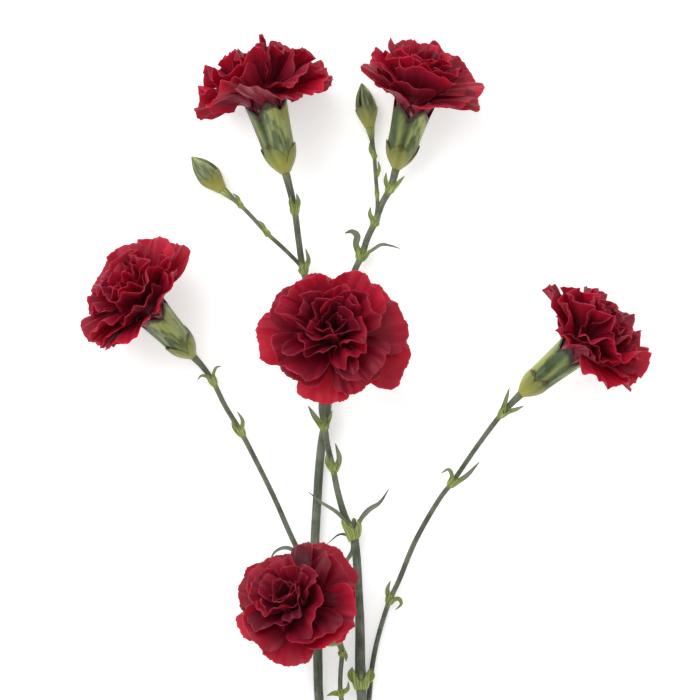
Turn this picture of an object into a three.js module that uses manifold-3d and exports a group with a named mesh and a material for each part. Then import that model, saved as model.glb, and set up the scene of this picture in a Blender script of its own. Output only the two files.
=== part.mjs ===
// A cut spray carnation laid on a flat surface: one branching stem with six double blooms and two buds.
// Millimetres. +Z is up, +Y runs along the stem towards its top blooms, and z = 0 is the surface it lies on.
// Stems, calyxes and petals are separate solids that meet with a small gap.

import * as THREE from "three";
import { mergeVertices } from "three/addons/utils/BufferGeometryUtils.js";
import Module from "manifold-3d";

const wasm = await Module();
wasm.setup();

// Driving dimensions
const middle = [6.08, -38.27]; // x and y of the spray's middle, in the axes that the routes are written in
const seatGap = 0.3; // clearance where two pieces meet
const shortestEdge = 0.02; // edges below this are closed up after a join

const stemSides = 8;
const slimSides = 6; // on stems thinner than slimRadius
const slimRadius = 1.1;
const ringStep = 11; // distance between a stem's rings
const endRadius = { bloom: 1.4, bud: 0.95 }; // of a stem where it meets what it carries
const jointHalfLength = 2.6; // half the length of a swollen joint
const leafThickness = 0.8;

const cupSides = 10; // five teeth, so two corners for each
const calyxWall = 1;
const calyxFloor = 6; // height of the cavity's floor above the calyx's base
const toothDepth = 4.2; // how far the mouth is cut down between its five teeth
const calyxOutline = [
  [0, 1.6],
  [2, 3.5],
  [6, 5.4],
  [15, 6.4],
  [27.5, 7.9],
]; // height and outer radius
const coreOutline = [
  [29, 6.6],
  [31, 8.6],
  [39.4, 2.4],
]; // the bent claws of the petals make one core, wider above the mouth: height and radius
const scaleTips = [0, 2, 5, 7]; // the corners of a cup or bud at which its four base scales end
const scaleThickness = 0.5;
const calyxScales = { top: 9.6, cleft: 5 }; // heights of the scales' tips and of the clefts between them

const budOutline = [
  [0, 1.3],
  [1.6, 3],
  [5, 4.3],
  [9, 4.6],
  [12.5, 3.8],
  [15.4, 2.1],
  [17, 0.4],
]; // height and radius
const budScales = { top: 6.8, cleft: 3.4 };

const petalThickness = 0.7;
const petalRows = [0, 0.34, 0.68, 1]; // shares of a petal's length, with the strips doubled at each row
const heartRows = [0, 0.5, 1]; // the same for the small petals in the middle
const clawRadius = 2.4; // a petal's fan starts this far from the point that it spreads from
const bendLength = 8; // a petal bends from its first lean to its next within this length
const toothHeight = 0.7; // the cut edge of a petal goes this much in and out
const jitter = { spin: 7, bend: 5, tip: 9, length: 0.05, waves: 0.5, twist: 0.05 }; // petals differ by this
const ripples = 2.2; // half waves across a petal, before its jitter
const tilt = 0.17; // how much a petal's one side rises over its other, before its jitter

// From the outside in: how many petals, how long, where their claws start, how far they lean from the axis at
// the claw, past the bend and at the tip, and the half angle of their fan.
const whorls = [
  { count: 5, length: 26, radius: 5.8, height: 30.4, leans: [74, 83, 88], fan: 39, ruffle: 1.3, cup: 0.01 },
  { count: 5, length: 24, radius: 5.2, height: 32.6, leans: [60, 71, 77], fan: 39, ruffle: 1.5, cup: 0.015 },
  { count: 4, length: 20, radius: 4.2, height: 34.6, leans: [36, 47, 60], fan: 38, ruffle: 1.5, cup: 0.03 },
  { count: 3, length: 15, radius: 2.6, height: 35.6, leans: [14, 18, 40], fan: 36, ruffle: 1, cup: 0.06 },
];

// Each bloom: the base of its calyx, the way it faces and how wide its calyx is. Its outer and inner petals
// are scaled against the whorls' lengths, with an oval that makes them longer to two sides. The outer ones
// spread beyond their leans, and all droop on one side. The seed and the turn set its petals apart.
const blooms = {
  top_left: {
    base: [-23.5, 64.5, 21.5],
    axis: [-0.269, 0.957, 0.112],
    girth: 1,
    petals: { outer: 0.96, inner: 0.96, oval: -0.09, spread: 12, droop: 6, side: 0, seed: 85, turn: 25 },
  },
  top_right: {
    base: [17, 67, 9.6],
    axis: [0.242, 0.867, 0.436],
    girth: 0.96,
    petals: { outer: 0.9, inner: 0.97, oval: -0.05, spread: -8, droop: 12, side: 80, seed: 19, turn: 20 },
  },
  left: {
    base: [-58, -2.5, 7],
    axis: [-0.575, 0.639, 0.511],
    girth: 0.88,
    petals: { outer: 0.94, inner: 1, oval: -0.06, spread: -5, droop: 15, side: 172, seed: 78, turn: 0 },
  },
  right: {
    base: [62.5, -16.5, 17],
    axis: [0.74, 0.618, 0.266],
    girth: 0.84,
    petals: { outer: 0.95, inner: 0.92, oval: 0.07, spread: 0, droop: 14, side: 204, seed: 3, turn: 30 },
  },
  centre: {
    base: [-6, -7.5, 13.2],
    axis: [0.011, 0.405, 0.914],
    girth: 1,
    petals: { outer: 0.92, inner: 0.96, oval: 0.04, spread: 6, droop: 3, side: 86, seed: 27, turn: 41 },
  },
  lower: {
    base: [-4, -108, 8.6],
    axis: [-0.479, 0.479, 0.735],
    girth: 0.85,
    petals: { outer: 0.87, inner: 0.96, oval: 0.03, spread: 6, droop: 12, side: 289, seed: 42, turn: 55 },
  },
};

const buds = {
  left: { base: [-47, 59, 5.1], axis: [-0.679, 0.734, 0.02], girth: 0.94 },
  right: { base: [7.5, 82, 4.9], axis: [-0.183, 0.983, 0.018], girth: 0.85 },
};

// Each leafy stem: the piece that it grows from, its route as x, y, z and radius, its swollen joints as the
// number of a point on the route and the joint's radius, the way its end faces, and its leaves and bracts.
const stems = {
  stem_main: {
    route: [
      [4.5, -192.5, 1.75, 1.9],
      [4.5, -172, 2.7, 1.9],
      [4.5, -156, 3, 1.8],
      [5, -144, 3.4, 1.75],
      [4.5, -132, 4.2, 1.75],
      [4, -122.5, 4.7, 1.9],
      [3.8, -115.8, 4.8, 1.9],
      [3.5, -97.5, 4.8, 1.75],
      [2, -72.5, 5.4, 1.5],
      [1, -67, 5.8, 1.5],
      [-2, -58, 6.2, 1.2],
      [-4.5, -52, 6.5, 1.15],
      [-6.5, -43, 7, 1.1],
      [-8.5, -34.5, 7.6, 1.15],
      [-9.5, -27.5, 8, 1.2],
      [-10.5, -21.5, 8.3, 1.2],
      [-9.3, -14, 9, 1.25],
      [-7, -10.2, 10.4, 1.3],
    ],
    joints: { 1: 3.1, 3: 2.8, 5: 3.4, 9: 3.2, 12: 1.9, 14: 1.9 },
    ends: { bloom: "centre" },
    leaves: [
      { width: 2.6, points: [[3.4, -172, 3.4], [-1, -171, 5.4], [-9, -173.5, 6], [-17, -181, 4]] },
      { width: 2.6, points: [[5.6, -172, 3.4], [11, -167, 5.5], [18, -163.5, 6], [26.5, -164, 4]] },
      { width: 2.2, points: [[4, -145, 4], [-1.5, -146.5, 5.6], [-8, -150.5, 5.8], [-13, -158.5, 4]] },
      { width: 2.4, points: [[2.6, -122.5, 5.4], [0.4, -120.4, 6.4], [0.8, -117.6, 7]] },
      { width: 2.4, points: [[5.6, -122.5, 5.4], [7.8, -120.6, 6.2], [7.4, -117.8, 7]] },
      {
        width: 1.3,
        points: [
          [1, -67, 7], [-3, -62, 8.3], [-5.5, -59.6, 8.6],
          [-10.5, -56.5, 8.6], [-15.5, -52.5, 8.2],
        ],
      },
      {
        width: 1.8,
        points: [
          [1.6, -67, 7], [4.2, -61.8, 8.4], [7, -59, 8.8],
          [11, -56.5, 8.5], [14.4, -51.5, 7.2],
        ],
      },
      { width: 1.5, points: [[-6.4, -44.5, 7.6], [-8.4, -41.4, 8.2], [-8.4, -38, 8.3]] },
      { width: 1.9, points: [[-6, -45, 7.6], [-4, -40.5, 8.6], [-5.4, -34.6, 8.8]] },
      { width: 1.9, points: [[-9.6, -29, 8.6], [-12.8, -25, 9.4], [-15.5, -20.6, 9.2]] },
      { width: 1.1, points: [[-9.2, -28.6, 8.2], [-7.6, -25.4, 8], [-6.6, -22.4, 7.8]] },
    ],
  },
  stem_top_left: {
    from: "stem_main",
    route: [
      [4.5, -172, 2.8, 1.5],
      [1.2, -164.5, 4, 1.6],
      [-5.5, -153, 3.6, 1.7],
      [-10, -139.5, 3.2, 1.75],
      [-11.5, -129, 3, 1.75],
      [-12, -114.5, 2.9, 1.75],
      [-12.5, -86.5, 3, 1.75],
      [-13, -72.5, 3, 1.75],
      [-12, -52.5, 2.6, 1.6],
      [-10.5, -34.5, 2.6, 1.55],
      [-8.5, -23, 2.7, 1.5],
      [-8, -10.5, 3.2, 1.45],
      [-12, 5.5, 3.4, 1.3],
      [-15.5, 22.5, 4.2, 1.25],
      [-17.5, 30.5, 6, 1.25],
      [-19, 40.5, 10.5, 1.2],
      [-20.5, 52, 17, 1.2],
      [-22.4, 60.5, 20.8, 1.3],
    ],
    joints: { 6: 2.9, 11: 2.6, 14: 2.1, 16: 1.9 },
    ends: { bloom: "top_left" },
    leaves: [
      {
        width: 1.4,
        points: [
          [-13.6, -85, 5.2], [-17.5, -78, 7.2], [-20.5, -74.4, 8.2],
          [-24.2, -73.2, 8.6], [-28, -75, 8.4], [-29.8, -79, 7.6],
        ],
      },
      {
        width: 1.4,
        points: [
          [-12, -86, 4.4], [-5.5, -82.5, 6], [-1.5, -78.5, 4.4], [1, -74, 2.2],
          [0.2, -69.8, 2.2], [-3.6, -68.4, 4], [-8.5, -72, 6],
        ],
      },
      { width: 1.5, points: [[-17, 30, 7], [-15.4, 33, 9], [-16.4, 37.6, 11.6]] },
      { width: 1.4, points: [[-20.6, 51.4, 18.2], [-21.8, 54.4, 20.8], [-21.8, 56.8, 22.6]] },
      { width: 1.6, points: [[-20, 51.4, 18.2], [-19, 54.4, 21], [-19.6, 57.4, 23.2]] },
      { width: 1.5, points: [[-8, -11.4, 4.2], [-5.4, -6.6, 5.4], [-3.8, -2.6, 5.6]] },
    ],
  },
  stem_top_right: {
    from: "stem_top_left",
    route: [
      [-8, -10.5, 3.2, 1.2],
      [-4.6, 7.5, 3.6, 1.2],
      [0.5, 26.5, 4.4, 1.2],
      [4.5, 35.5, 5.2, 1.25],
      [6.5, 41.5, 6, 1.2],
      [9.5, 48, 7, 1.2],
      [12, 54.5, 7.6, 1.15],
      [15, 60, 8, 1.2],
    ],
    joints: { 3: 2.3, 5: 1.9, 7: 1.8 },
    ends: { bloom: "top_right" },
    leaves: [
      { width: 2.3, points: [[4, 35, 6.2], [2.2, 39, 8], [2.6, 42.4, 9], [0.6, 43.9, 9], [-2, 43.2, 8.4]] },
      {
        width: 1.1,
        points: [
          [5, 35, 6], [8.5, 37.2, 7.6], [11.5, 39, 8.2],
          [14.5, 38.8, 8], [18.6, 37.6, 6.6],
        ],
      },
      { width: 1.3, points: [[14.6, 59.4, 9.2], [13.2, 62.6, 10.2], [13.4, 65.6, 11]] },
      { width: 1.3, points: [[15.4, 59.4, 9.2], [17.6, 61.6, 10.2], [20.2, 64.4, 10.8]] },
      { width: 1.2, points: [[9, 47.4, 8], [7.4, 50.2, 8.6], [7.6, 53, 9]] },
    ],
  },
  stem_left: {
    from: "stem_top_left",
    route: [
      [-12.5, -86.5, 3, 0.9],
      [-16, -80, 4, 0.95],
      [-20, -73, 4.2, 0.95],
      [-29.5, -52, 4.2, 0.95],
      [-40.5, -30.5, 4.2, 0.95],
      [-46.5, -20.5, 4.2, 0.9],
      [-51, -11.5, 4.5, 0.95],
      [-54.4, -6.6, 4.9, 1.1],
    ],
    joints: { 4: 1.7, 6: 1.7 },
    ends: { bloom: "left" },
    leaves: [
      { width: 1.3, points: [[-40.6, -31.5, 4.8], [-43, -28.6, 6], [-43.8, -25.6, 6.6]] },
      { width: 1.2, points: [[-40.6, -30.5, 5.2], [-39.8, -26.4, 6.4], [-41.8, -22.8, 6.8]] },
      { width: 0.9, points: [[-51, -11.8, 5.2], [-53.2, -9.8, 6.2], [-55.2, -9.6, 6.4], [-56.6, -11.2, 6]] },
      { width: 0.9, points: [[-50.8, -11.4, 5.2], [-50.4, -8, 6.6], [-49.4, -6.4, 7], [-47.8, -6, 6.8]] },
    ],
  },
  stem_right: {
    from: "stem_main",
    route: [
      [5, -144, 3.4, 0.9],
      [7, -130, 1.6, 0.95],
      [8.2, -118, 1.7, 0.95],
      [10, -108.5, 2, 0.95],
      [13.5, -96.5, 2.5, 0.95],
      [15, -92.5, 2.8, 0.95],
      [18, -86, 3.2, 0.95],
      [24.5, -70.5, 4, 0.95],
      [33.4, -55, 5.3, 0.95],
      [38, -49, 6, 0.95],
      [47.5, -35, 9.6, 0.9],
      [56.5, -23, 13.8, 1],
    ],
    joints: { 5: 1.9, 9: 1.9, 11: 1.8 },
    ends: { bloom: "right" },
    leaves: [
      { width: 1.4, points: [[14.8, -93, 3.8], [13.9, -89, 5.4], [15, -85.6, 6]] },
      { width: 1.2, points: [[15.4, -93, 3.6], [18.2, -92.4, 5], [19, -94.2, 5], [16.8, -96.6, 4.4]] },
      { width: 1.3, points: [[37.4, -49.8, 7], [37.6, -45.8, 8.8], [36.4, -44.2, 9.4], [33.8, -45.6, 9]] },
      { width: 1.6, points: [[38.4, -49.6, 7], [43, -46.6, 9.5], [47.8, -41.4, 12]] },
      { width: 1.4, points: [[56, -23, 14.6], [57.4, -18.4, 17], [58.6, -14, 18.4]] },
      { width: 1.3, points: [[57, -23, 14.4], [60.8, -22, 16], [64, -20.6, 17.2]] },
    ],
  },
  stem_lower: {
    from: "stem_main",
    route: [
      [5, -144, 3.4, 0.85],
      [0.6, -138, 4.8, 0.85],
      [-2.5, -132, 5.2, 0.85],
      [-3.5, -127, 5.4, 0.85],
      [-3.5, -119.5, 5.8, 0.85],
      [-3, -111.6, 6.4, 0.95],
    ],
    joints: { 3: 1.5, 5: 1.7 },
    ends: { bloom: "lower" },
    leaves: [
      { width: 1.3, points: [[-3.8, -127.4, 6], [-6, -127.2, 7.4], [-8.6, -128.2, 7]] },
      { width: 1.2, points: [[-3.2, -127.2, 6], [-0.9, -125.6, 7.4], [-0.6, -122.8, 8.6]] },
      { width: 1, points: [[-3, -111.4, 7.4], [-1.6, -113.2, 8], [-1.4, -115.4, 7.6]] },
    ],
  },
  stalk_bud_left: {
    from: "stem_top_left",
    route: [
      [-17.5, 30.5, 6, 0.75],
      [-20.5, 33.6, 6.4, 0.75],
      [-25, 38, 6.3, 0.75],
      [-31, 43.5, 6, 0.75],
      [-36.5, 49.5, 5.7, 0.75],
      [-41, 54, 5.4, 0.75],
    ],
    joints: { 3: 1.4, 5: 1.3 },
    ends: { bud: "left" },
    leaves: [
      { width: 1.1, points: [[-31, 43, 6.6], [-32.4, 46.4, 7.6], [-34.6, 48.2, 7.4]] },
      { width: 1, points: [[-41, 53.4, 6], [-41.6, 56.4, 7], [-43.4, 58, 7]] },
    ],
  },
  stalk_bud_right: {
    from: "stem_top_right",
    route: [
      [9.5, 48, 7, 0.7],
      [10.1, 53, 8, 0.7],
      [10, 58, 7, 0.7],
      [9.5, 65, 6.2, 0.7],
      [9, 72.5, 5.5, 0.7],
      [8.2, 77.6, 5, 0.75],
    ],
    joints: { 2: 1.3, 4: 1.3 },
    ends: { bud: "right" },
    leaves: [
      { width: 1, points: [[9.6, 64, 6.6], [10.8, 67, 7.4], [10.4, 70, 7.4]] },
      { width: 1, points: [[9, 72, 6.2], [7.6, 74.4, 6.8], [7.4, 77, 6.8]] },
    ],
  },
};

const green = new THREE.MeshStandardMaterial({ color: "#5b6e57", roughness: 0.62, metalness: 0 });
const calyxGreen = new THREE.MeshStandardMaterial({ color: "#84994f", roughness: 0.55, metalness: 0 });
const crimson = new THREE.MeshStandardMaterial({ color: "#8c0d1e", roughness: 0.7, metalness: 0 });
const budGreen = new THREE.MeshStandardMaterial({ color: "#6f8455", roughness: 0.55, metalness: 0 });

const up = new THREE.Vector3(0, 0, 1);
const vector = (list) => new THREE.Vector3(list[0], list[1], list[2]);
const radians = THREE.MathUtils.degToRad;

// A repeatable number from -1 to 1 for a bloom's seed, a petal's number and the value that it varies.
function vary(seed, petal, value) {
  const wave = Math.sin(seed * 12.9898 + petal * 78.233 + value * 37.719) * 43758.5453;
  return 2 * (wave - Math.floor(wave)) - 1;
}

function solidOf(points, triangles) {
  const vertProperties = new Float32Array(points.flatMap((p) => [p.x, p.y, p.z]));
  const triVerts = new Uint32Array(triangles.flat());
  return new wasm.Manifold(new wasm.Mesh({ numProp: 3, vertProperties, triVerts }));
}

function solidOfGeometry(geometry) {
  geometry.deleteAttribute("normal");
  geometry.deleteAttribute("uv");
  const merged = mergeVertices(geometry);
  const vertProperties = merged.attributes.position.array;
  const triVerts = new Uint32Array(merged.index.array);
  return new wasm.Manifold(new wasm.Mesh({ numProp: 3, vertProperties, triVerts }));
}

// The joined body without the scraps that lie loose and the hollows that are sealed inside it.
function oneBody(solid) {
  const shells = solid.simplify(shortestEdge).decompose();
  return shells.reduce((most, shell) => (shell.volume() > most.volume() ? shell : most));
}

function join(solids) {
  return oneBody(solids.reduce((whole, solid) => whole.add(solid)));
}

// Rings with the same number of points, each joined to the next, with a flat cap on the first and the last.
function loft(rings) {
  const sides = rings[0].length;
  const triangles = [];
  for (let r = 0; r + 1 < rings.length; r++) {
    for (let k = 0; k < sides; k++) {
      const next = (k + 1) % sides;
      const [a, b] = [r * sides + k, r * sides + next];
      triangles.push([a, b, b + sides], [a, b + sides, a + sides]);
    }
  }
  const last = (rings.length - 1) * sides;
  for (let k = 1; k + 1 < sides; k++) {
    triangles.push([0, k + 1, k], [last, last + k, last + k + 1]);
  }
  return solidOf(rings.flat(), triangles);
}

// A flat ring round the z axis. Odd corners sit lower by the drop, which makes the teeth of a calyx.
function levelRing(height, radius, sides, drop = 0) {
  return Array.from({ length: sides }, (_, k) => {
    const angle = (2 * Math.PI * k) / sides;
    return new THREE.Vector3(radius * Math.cos(angle), radius * Math.sin(angle), height - (k % 2) * drop);
  });
}

// A ring across a path: level to its side, with the given half width and half height.
function crossRing(centre, along, halfWidth, halfHeight, sides) {
  const side = up.clone().cross(along).normalize();
  const over = along.clone().cross(side).normalize();
  return Array.from({ length: sides }, (_, k) => {
    const angle = (2 * Math.PI * k) / sides;
    return centre
      .clone()
      .addScaledVector(side, halfWidth * Math.cos(angle))
      .addScaledVector(over, halfHeight * Math.sin(angle));
  });
}

// The base and axis of the bloom or bud that a stem carries.
function endOf({ ends }) {
  const carried = ends.bloom ? blooms[ends.bloom] : buds[ends.bud];
  const radius = ends.bloom ? endRadius.bloom : endRadius.bud;
  return { point: [...carried.base, radius], axis: vector(carried.axis).normalize() };
}

// Places along a route, as the number of a point and a share of the way to the next, with the radius there.
function stations(route, joints, isSlim) {
  const points = route.map(vector);
  const span = (i) => points[i].distanceTo(points[i + 1]);
  const radiusAt = (place) => {
    const i = Math.min(Math.floor(place), route.length - 2);
    return THREE.MathUtils.lerp(route[i][3], route[i + 1][3], place - i);
  };
  const list = [];
  const clear = jointHalfLength + 1;
  for (let i = 0; i < route.length; i++) {
    if (joints[i]) {
      for (const share of isSlim ? [-1, 0, 1] : [-1, -0.5, 0, 0.5, 1]) {
        const place = i + (share * jointHalfLength) / span(share < 0 ? i - 1 : i);
        list.push([place, THREE.MathUtils.lerp(joints[i], radiusAt(place), share * share)]);
      }
    } else {
      list.push([i, route[i][3]]);
    }
    const steps = i + 1 < route.length ? Math.floor(span(i) / ringStep) : 0;
    for (let k = 1; k < steps; k++) {
      const place = i + k / steps;
      const nearStart = joints[i] && (place - i) * span(i) < clear;
      const nearEnd = joints[i + 1] && (i + 1 - place) * span(i) < clear;
      if (!nearStart && !nearEnd) list.push([place, radiusAt(place)]);
    }
  }
  const inOrder = list.sort((a, b) => a[0] - b[0]);
  return inOrder.filter(([place], k) => k === 0 || place - inOrder[k - 1][0] > 0.05);
}

function stemTube(stem, extraRadius = 0) {
  const { point, axis } = endOf(stem);
  const route = [...stem.route, point];
  const curve = new THREE.CatmullRomCurve3(route.map(vector), false, "centripetal");
  const last = route.length - 1;
  const isSlim = Math.min(...route.map((stop) => stop[3])) < slimRadius;
  const rings = stations(route, stem.joints, isSlim).map(([place, radius]) => {
    const along = place === last ? axis : curve.getTangent(place / last);
    const size = radius + extraRadius;
    return crossRing(curve.getPoint(place / last), along, size, size, isSlim ? slimSides : stemSides);
  });
  return loft(rings);
}

// A leaf or bract: a flat four-cornered section that widens, then runs out to a point.
function leafBlade({ points, width }) {
  const curve = new THREE.CatmullRomCurve3(points.map(vector), false, "centripetal");
  const steps = points.length;
  const rings = Array.from({ length: steps + 1 }, (_, k) => {
    const share = k / steps;
    const halfWidth = (width / 2) * Math.sin(Math.PI * (0.2 + 0.77 * share)) + 0.1;
    const halfHeight = (leafThickness / 2) * (1 - 0.55 * share);
    return crossRing(curve.getPoint(share), curve.getTangent(share), halfWidth, halfHeight, 4);
  });
  return loft(rings);
}

// A thick slab whose top is the surface, moved into the frame of the group that is to be cut by it.
function ground(group) {
  const depth = 60;
  const slab = new THREE.BoxGeometry(600, 600, depth).translate(0, 0, -depth / 2);
  group.updateMatrixWorld(true);
  return solidOfGeometry(slab.applyMatrix4(group.matrixWorld.clone().invert()));
}

function meshOf(name, solid, material) {
  const made = solid.getMesh();
  const geometry = new THREE.BufferGeometry();
  geometry.setAttribute("position", new THREE.BufferAttribute(made.vertProperties, 3));
  geometry.setIndex(new THREE.BufferAttribute(made.triVerts, 1));
  geometry.computeVertexNormals();
  const mesh = new THREE.Mesh(geometry, material);
  mesh.name = name;
  return mesh;
}

// A stem with its joints, leaves and bracts fused on, cut clear of the stem that it grows from.
function leafyStem(name, group) {
  const stem = stems[name];
  let solid = join([stemTube(stem), ...stem.leaves.map(leafBlade)]).subtract(ground(group));
  if (stem.from) solid = solid.subtract(stemTube(stems[stem.from], seatGap));
  return meshOf(name, oneBody(solid), green);
}

// The outside of a cup or bud from its base up: four pointed scales round the base, then the plain wall.
function scaledRings(outline, scales, girth) {
  const radiusAt = (height) => {
    const i = outline.findIndex((point, k) => outline[k + 1][0] >= height);
    const share = (height - outline[i][0]) / (outline[i + 1][0] - outline[i][0]);
    return THREE.MathUtils.lerp(outline[i][1], outline[i + 1][1], share);
  };
  const tips = (stand) =>
    Array.from({ length: cupSides }, (_, k) => {
      const height = scaleTips.includes(k) ? scales.top : scales.cleft;
      return levelRing(height + seatGap, girth * radiusAt(height) + stand, cupSides)[k];
    });
  const below = outline.filter(([height]) => height < scales.cleft);
  const above = outline.filter(([height]) => height > scales.top);
  return {
    sheathed: [
      ...below.map(([height, radius]) => levelRing(height + seatGap, girth * radius, cupSides)),
      tips(scaleThickness),
      tips(0),
    ],
    above: above.map(([height, radius]) => [height, girth * radius]),
  };
}

// The floor and the mouth of a calyx's cavity.
function cavityEnds(girth) {
  const floorPoint = calyxOutline.find(([height]) => height >= calyxFloor);
  const mouthPoint = calyxOutline[calyxOutline.length - 1];
  return [floorPoint, mouthPoint].map(([height, radius]) => ({ height, radius: girth * radius - calyxWall }));
}

// A hollow green cup with five teeth round its mouth and four short scales round its base.
function calyx(name) {
  const { girth } = blooms[name];
  const { sheathed, above } = scaledRings(calyxOutline, calyxScales, girth);
  const wall = above.map(([height, radius], k) => {
    const drop = k === above.length - 1 ? toothDepth : 0;
    return levelRing(height + seatGap, radius, cupSides, drop);
  });
  const [floorRing, mouthRing] = cavityEnds(girth);
  const inner = [
    levelRing(mouthRing.height + seatGap, mouthRing.radius, cupSides, toothDepth),
    levelRing(floorRing.height + seatGap, floorRing.radius, cupSides),
  ];
  return meshOf("calyx_" + name, loft([...sheathed, ...wall, ...inner]), calyxGreen);
}

// The claws of all the petals as one core, clear of the cup's wall and floor, domed above its mouth.
function clawCore(girth) {
  const clearance = seatGap / Math.cos(Math.PI / cupSides);
  const sunk = cavityEnds(girth).map(({ height, radius }) => [height + 2 * seatGap, radius - clearance]);
  const dome = coreOutline.map(([height, radius]) => [height, girth * radius]);
  return loft([...sunk, ...dome].map(([height, radius]) => levelRing(height, radius, cupSides)));
}

// The middle line of a petal, walked in short steps: its lean goes from the first to the second over the
// bend, then on to the third at the tip. Each step gives the distance out, the height and the lean there.
function middleLine(length, [claw, bent, tip]) {
  const step = 0.25;
  const line = [[0, 0, radians(claw)]];
  for (let walked = step; walked <= length + 1; walked += step) {
    const bend = Math.min(walked / bendLength, 1);
    const rest = Math.max((walked - bendLength) / (length - bendLength), 0);
    const angle = radians(claw + (bent - claw) * bend + (tip - bent) * rest ** 1.5);
    const [out, height] = line[line.length - 1];
    line.push([out + step * Math.sin(angle), height + step * Math.cos(angle), angle]);
  }
  return (distance) => {
    const place = THREE.MathUtils.clamp(distance / step, 0, line.length - 1.001);
    const i = Math.floor(place);
    return line[i].map((value, k) => THREE.MathUtils.lerp(value, line[i + 1][k], place - i));
  };
}

// One petal as a surface: across runs from -1 to 1 over its fan, and along from 0 at its claw to 1 at its
// cut edge. The fan follows the middle line, cups across it, tilts to one side and ripples towards the edge.
function petalSurface({ outer, inner, oval, spread, droop, side, seed, turn }, w, index) {
  const whorl = whorls[w];
  const differ = (value) => vary(seed, 10 * w + index, value);
  const isOuter = w < 2;
  const spin = radians(turn + jitter.spin * differ(1) + (360 * (index + 0.5 * (w % 2))) / whorl.count);
  const sag = droop * Math.cos(spin - radians(side)) * Math.sin(radians(whorl.leans[1]));
  const extra = isOuter ? spread : 0;
  const leans = [
    whorl.leans[0] + extra,
    whorl.leans[1] + extra + sag + jitter.bend * differ(2),
    whorl.leans[2] + extra + 1.3 * sag + jitter.tip * differ(3),
  ];
  const share = 1 + jitter.length * differ(4) + oval * Math.cos(2 * spin);
  const length = whorl.length * share * (isOuter ? outer : inner);
  const waves = Math.PI * (ripples + jitter.waves * differ(5));
  const phase = Math.PI * differ(6);
  const rise = tilt + jitter.twist * differ(7);
  const follow = middleLine(length, leans);
  return (across, along, tooth) => {
    const edge = length * (1 - 0.06 * across ** 2 - 0.12 * across ** 6) + tooth;
    const reach = clawRadius + (edge - clawRadius) * along;
    const sideways = reach * Math.sin(radians(whorl.fan) * across);
    const [out, height, angle] = follow(reach * Math.cos(radians(whorl.fan) * across) - clawRadius);
    const ripple = Math.sin(waves * across + phase) + 0.4 * Math.sin(2.3 * waves * across - phase);
    const cupped = (1 - Math.cos(whorl.cup * sideways)) / whorl.cup;
    const lift = cupped + rise * sideways * along + whorl.ruffle * ripple * along ** 1.6;
    const point = new THREE.Vector3(
      whorl.radius + out - lift * Math.cos(angle),
      Math.sin(whorl.cup * sideways) / whorl.cup,
      whorl.height + height + lift * Math.sin(angle),
    );
    return point.applyAxisAngle(up, spin);
  };
}

// A petal's solid: rows of points with twice the strips at each row, the same triangles on both faces, and a
// rim between them. The last row goes in and out as the cut teeth of the edge.
function petalSolid(surface, shares) {
  const faces = [[], []];
  const rows = [];
  shares.forEach((along, r) => {
    const strips = 2 ** r;
    const row = [];
    for (let k = 0; k <= strips; k++) {
      const across = -1 + (2 * k) / strips;
      const tooth = r === shares.length - 1 ? toothHeight * (k % 2 ? -1 : 1) : 0;
      const here = surface(across, along, tooth);
      const onward = surface(across, along + 0.02, tooth).sub(here);
      const sideward = surface(across + 0.02, along, tooth).sub(here);
      const normal = onward.cross(sideward).normalize();
      row.push(faces[0].length);
      faces[0].push(here.clone().addScaledVector(normal, petalThickness / 2));
      faces[1].push(here.clone().addScaledVector(normal, -petalThickness / 2));
    }
    rows.push(row);
  });
  const front = [];
  for (let r = 0; r + 1 < rows.length; r++) {
    const [near, far] = [rows[r], rows[r + 1]];
    for (let k = 0; k + 1 < near.length; k++) {
      front.push([near[k], far[2 * k], far[2 * k + 1]]);
      front.push([near[k], far[2 * k + 1], near[k + 1]]);
      front.push([near[k + 1], far[2 * k + 1], far[2 * k + 2]]);
    }
  }
  const count = faces[0].length;
  const rim = [];
  const edges = new Set(front.flatMap(([a, b, c]) => [a + "," + b, b + "," + c, c + "," + a]));
  for (const edge of edges) {
    const [a, b] = edge.split(",").map(Number);
    if (!edges.has(b + "," + a)) rim.push([b, a, a + count], [b, a + count, b + count]);
  }
  const back = front.map(([a, b, c]) => [a + count, c + count, b + count]);
  return solidOf([...faces[0], ...faces[1]], [...front, ...rim, ...back]);
}

// All the petals of a bloom, whorl by whorl, joined to the core that their claws make.
function petals(name, group) {
  const bloom = blooms[name];
  const solids = [clawCore(bloom.girth)];
  whorls.forEach((whorl, w) => {
    for (let index = 0; index < whorl.count; index++) {
      const shares = w === whorls.length - 1 ? heartRows : petalRows;
      solids.push(petalSolid(petalSurface(bloom.petals, w, index), shares));
    }
  });
  return meshOf("petals_" + name, oneBody(join(solids).subtract(ground(group))), crimson);
}

function bud(name) {
  const { sheathed, above } = scaledRings(budOutline, budScales, buds[name].girth);
  const wall = above.map(([height, radius]) => levelRing(height + seatGap, radius, cupSides));
  return meshOf("bud_" + name, loft([...sheathed, ...wall]), budGreen);
}

// A group whose z axis runs along the axis of a bloom or bud, from the base of its calyx.
function placed(carried, pieces) {
  const group = new THREE.Group();
  group.position.copy(vector(carried.base));
  group.quaternion.setFromUnitVectors(up, vector(carried.axis).normalize());
  pieces(group).forEach((piece) => group.add(piece));
  return group;
}

const carnation = new THREE.Group();
Object.keys(stems).forEach((name) => carnation.add(leafyStem(name, carnation)));
Object.keys(blooms).forEach((name) => {
  carnation.add(placed(blooms[name], (group) => [calyx(name), petals(name, group)]));
});
Object.keys(buds).forEach((name) => {
  carnation.add(placed(buds[name], () => [bud(name)]));
});
carnation.position.set(-middle[0], -middle[1], 0);

export default carnation;
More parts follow.
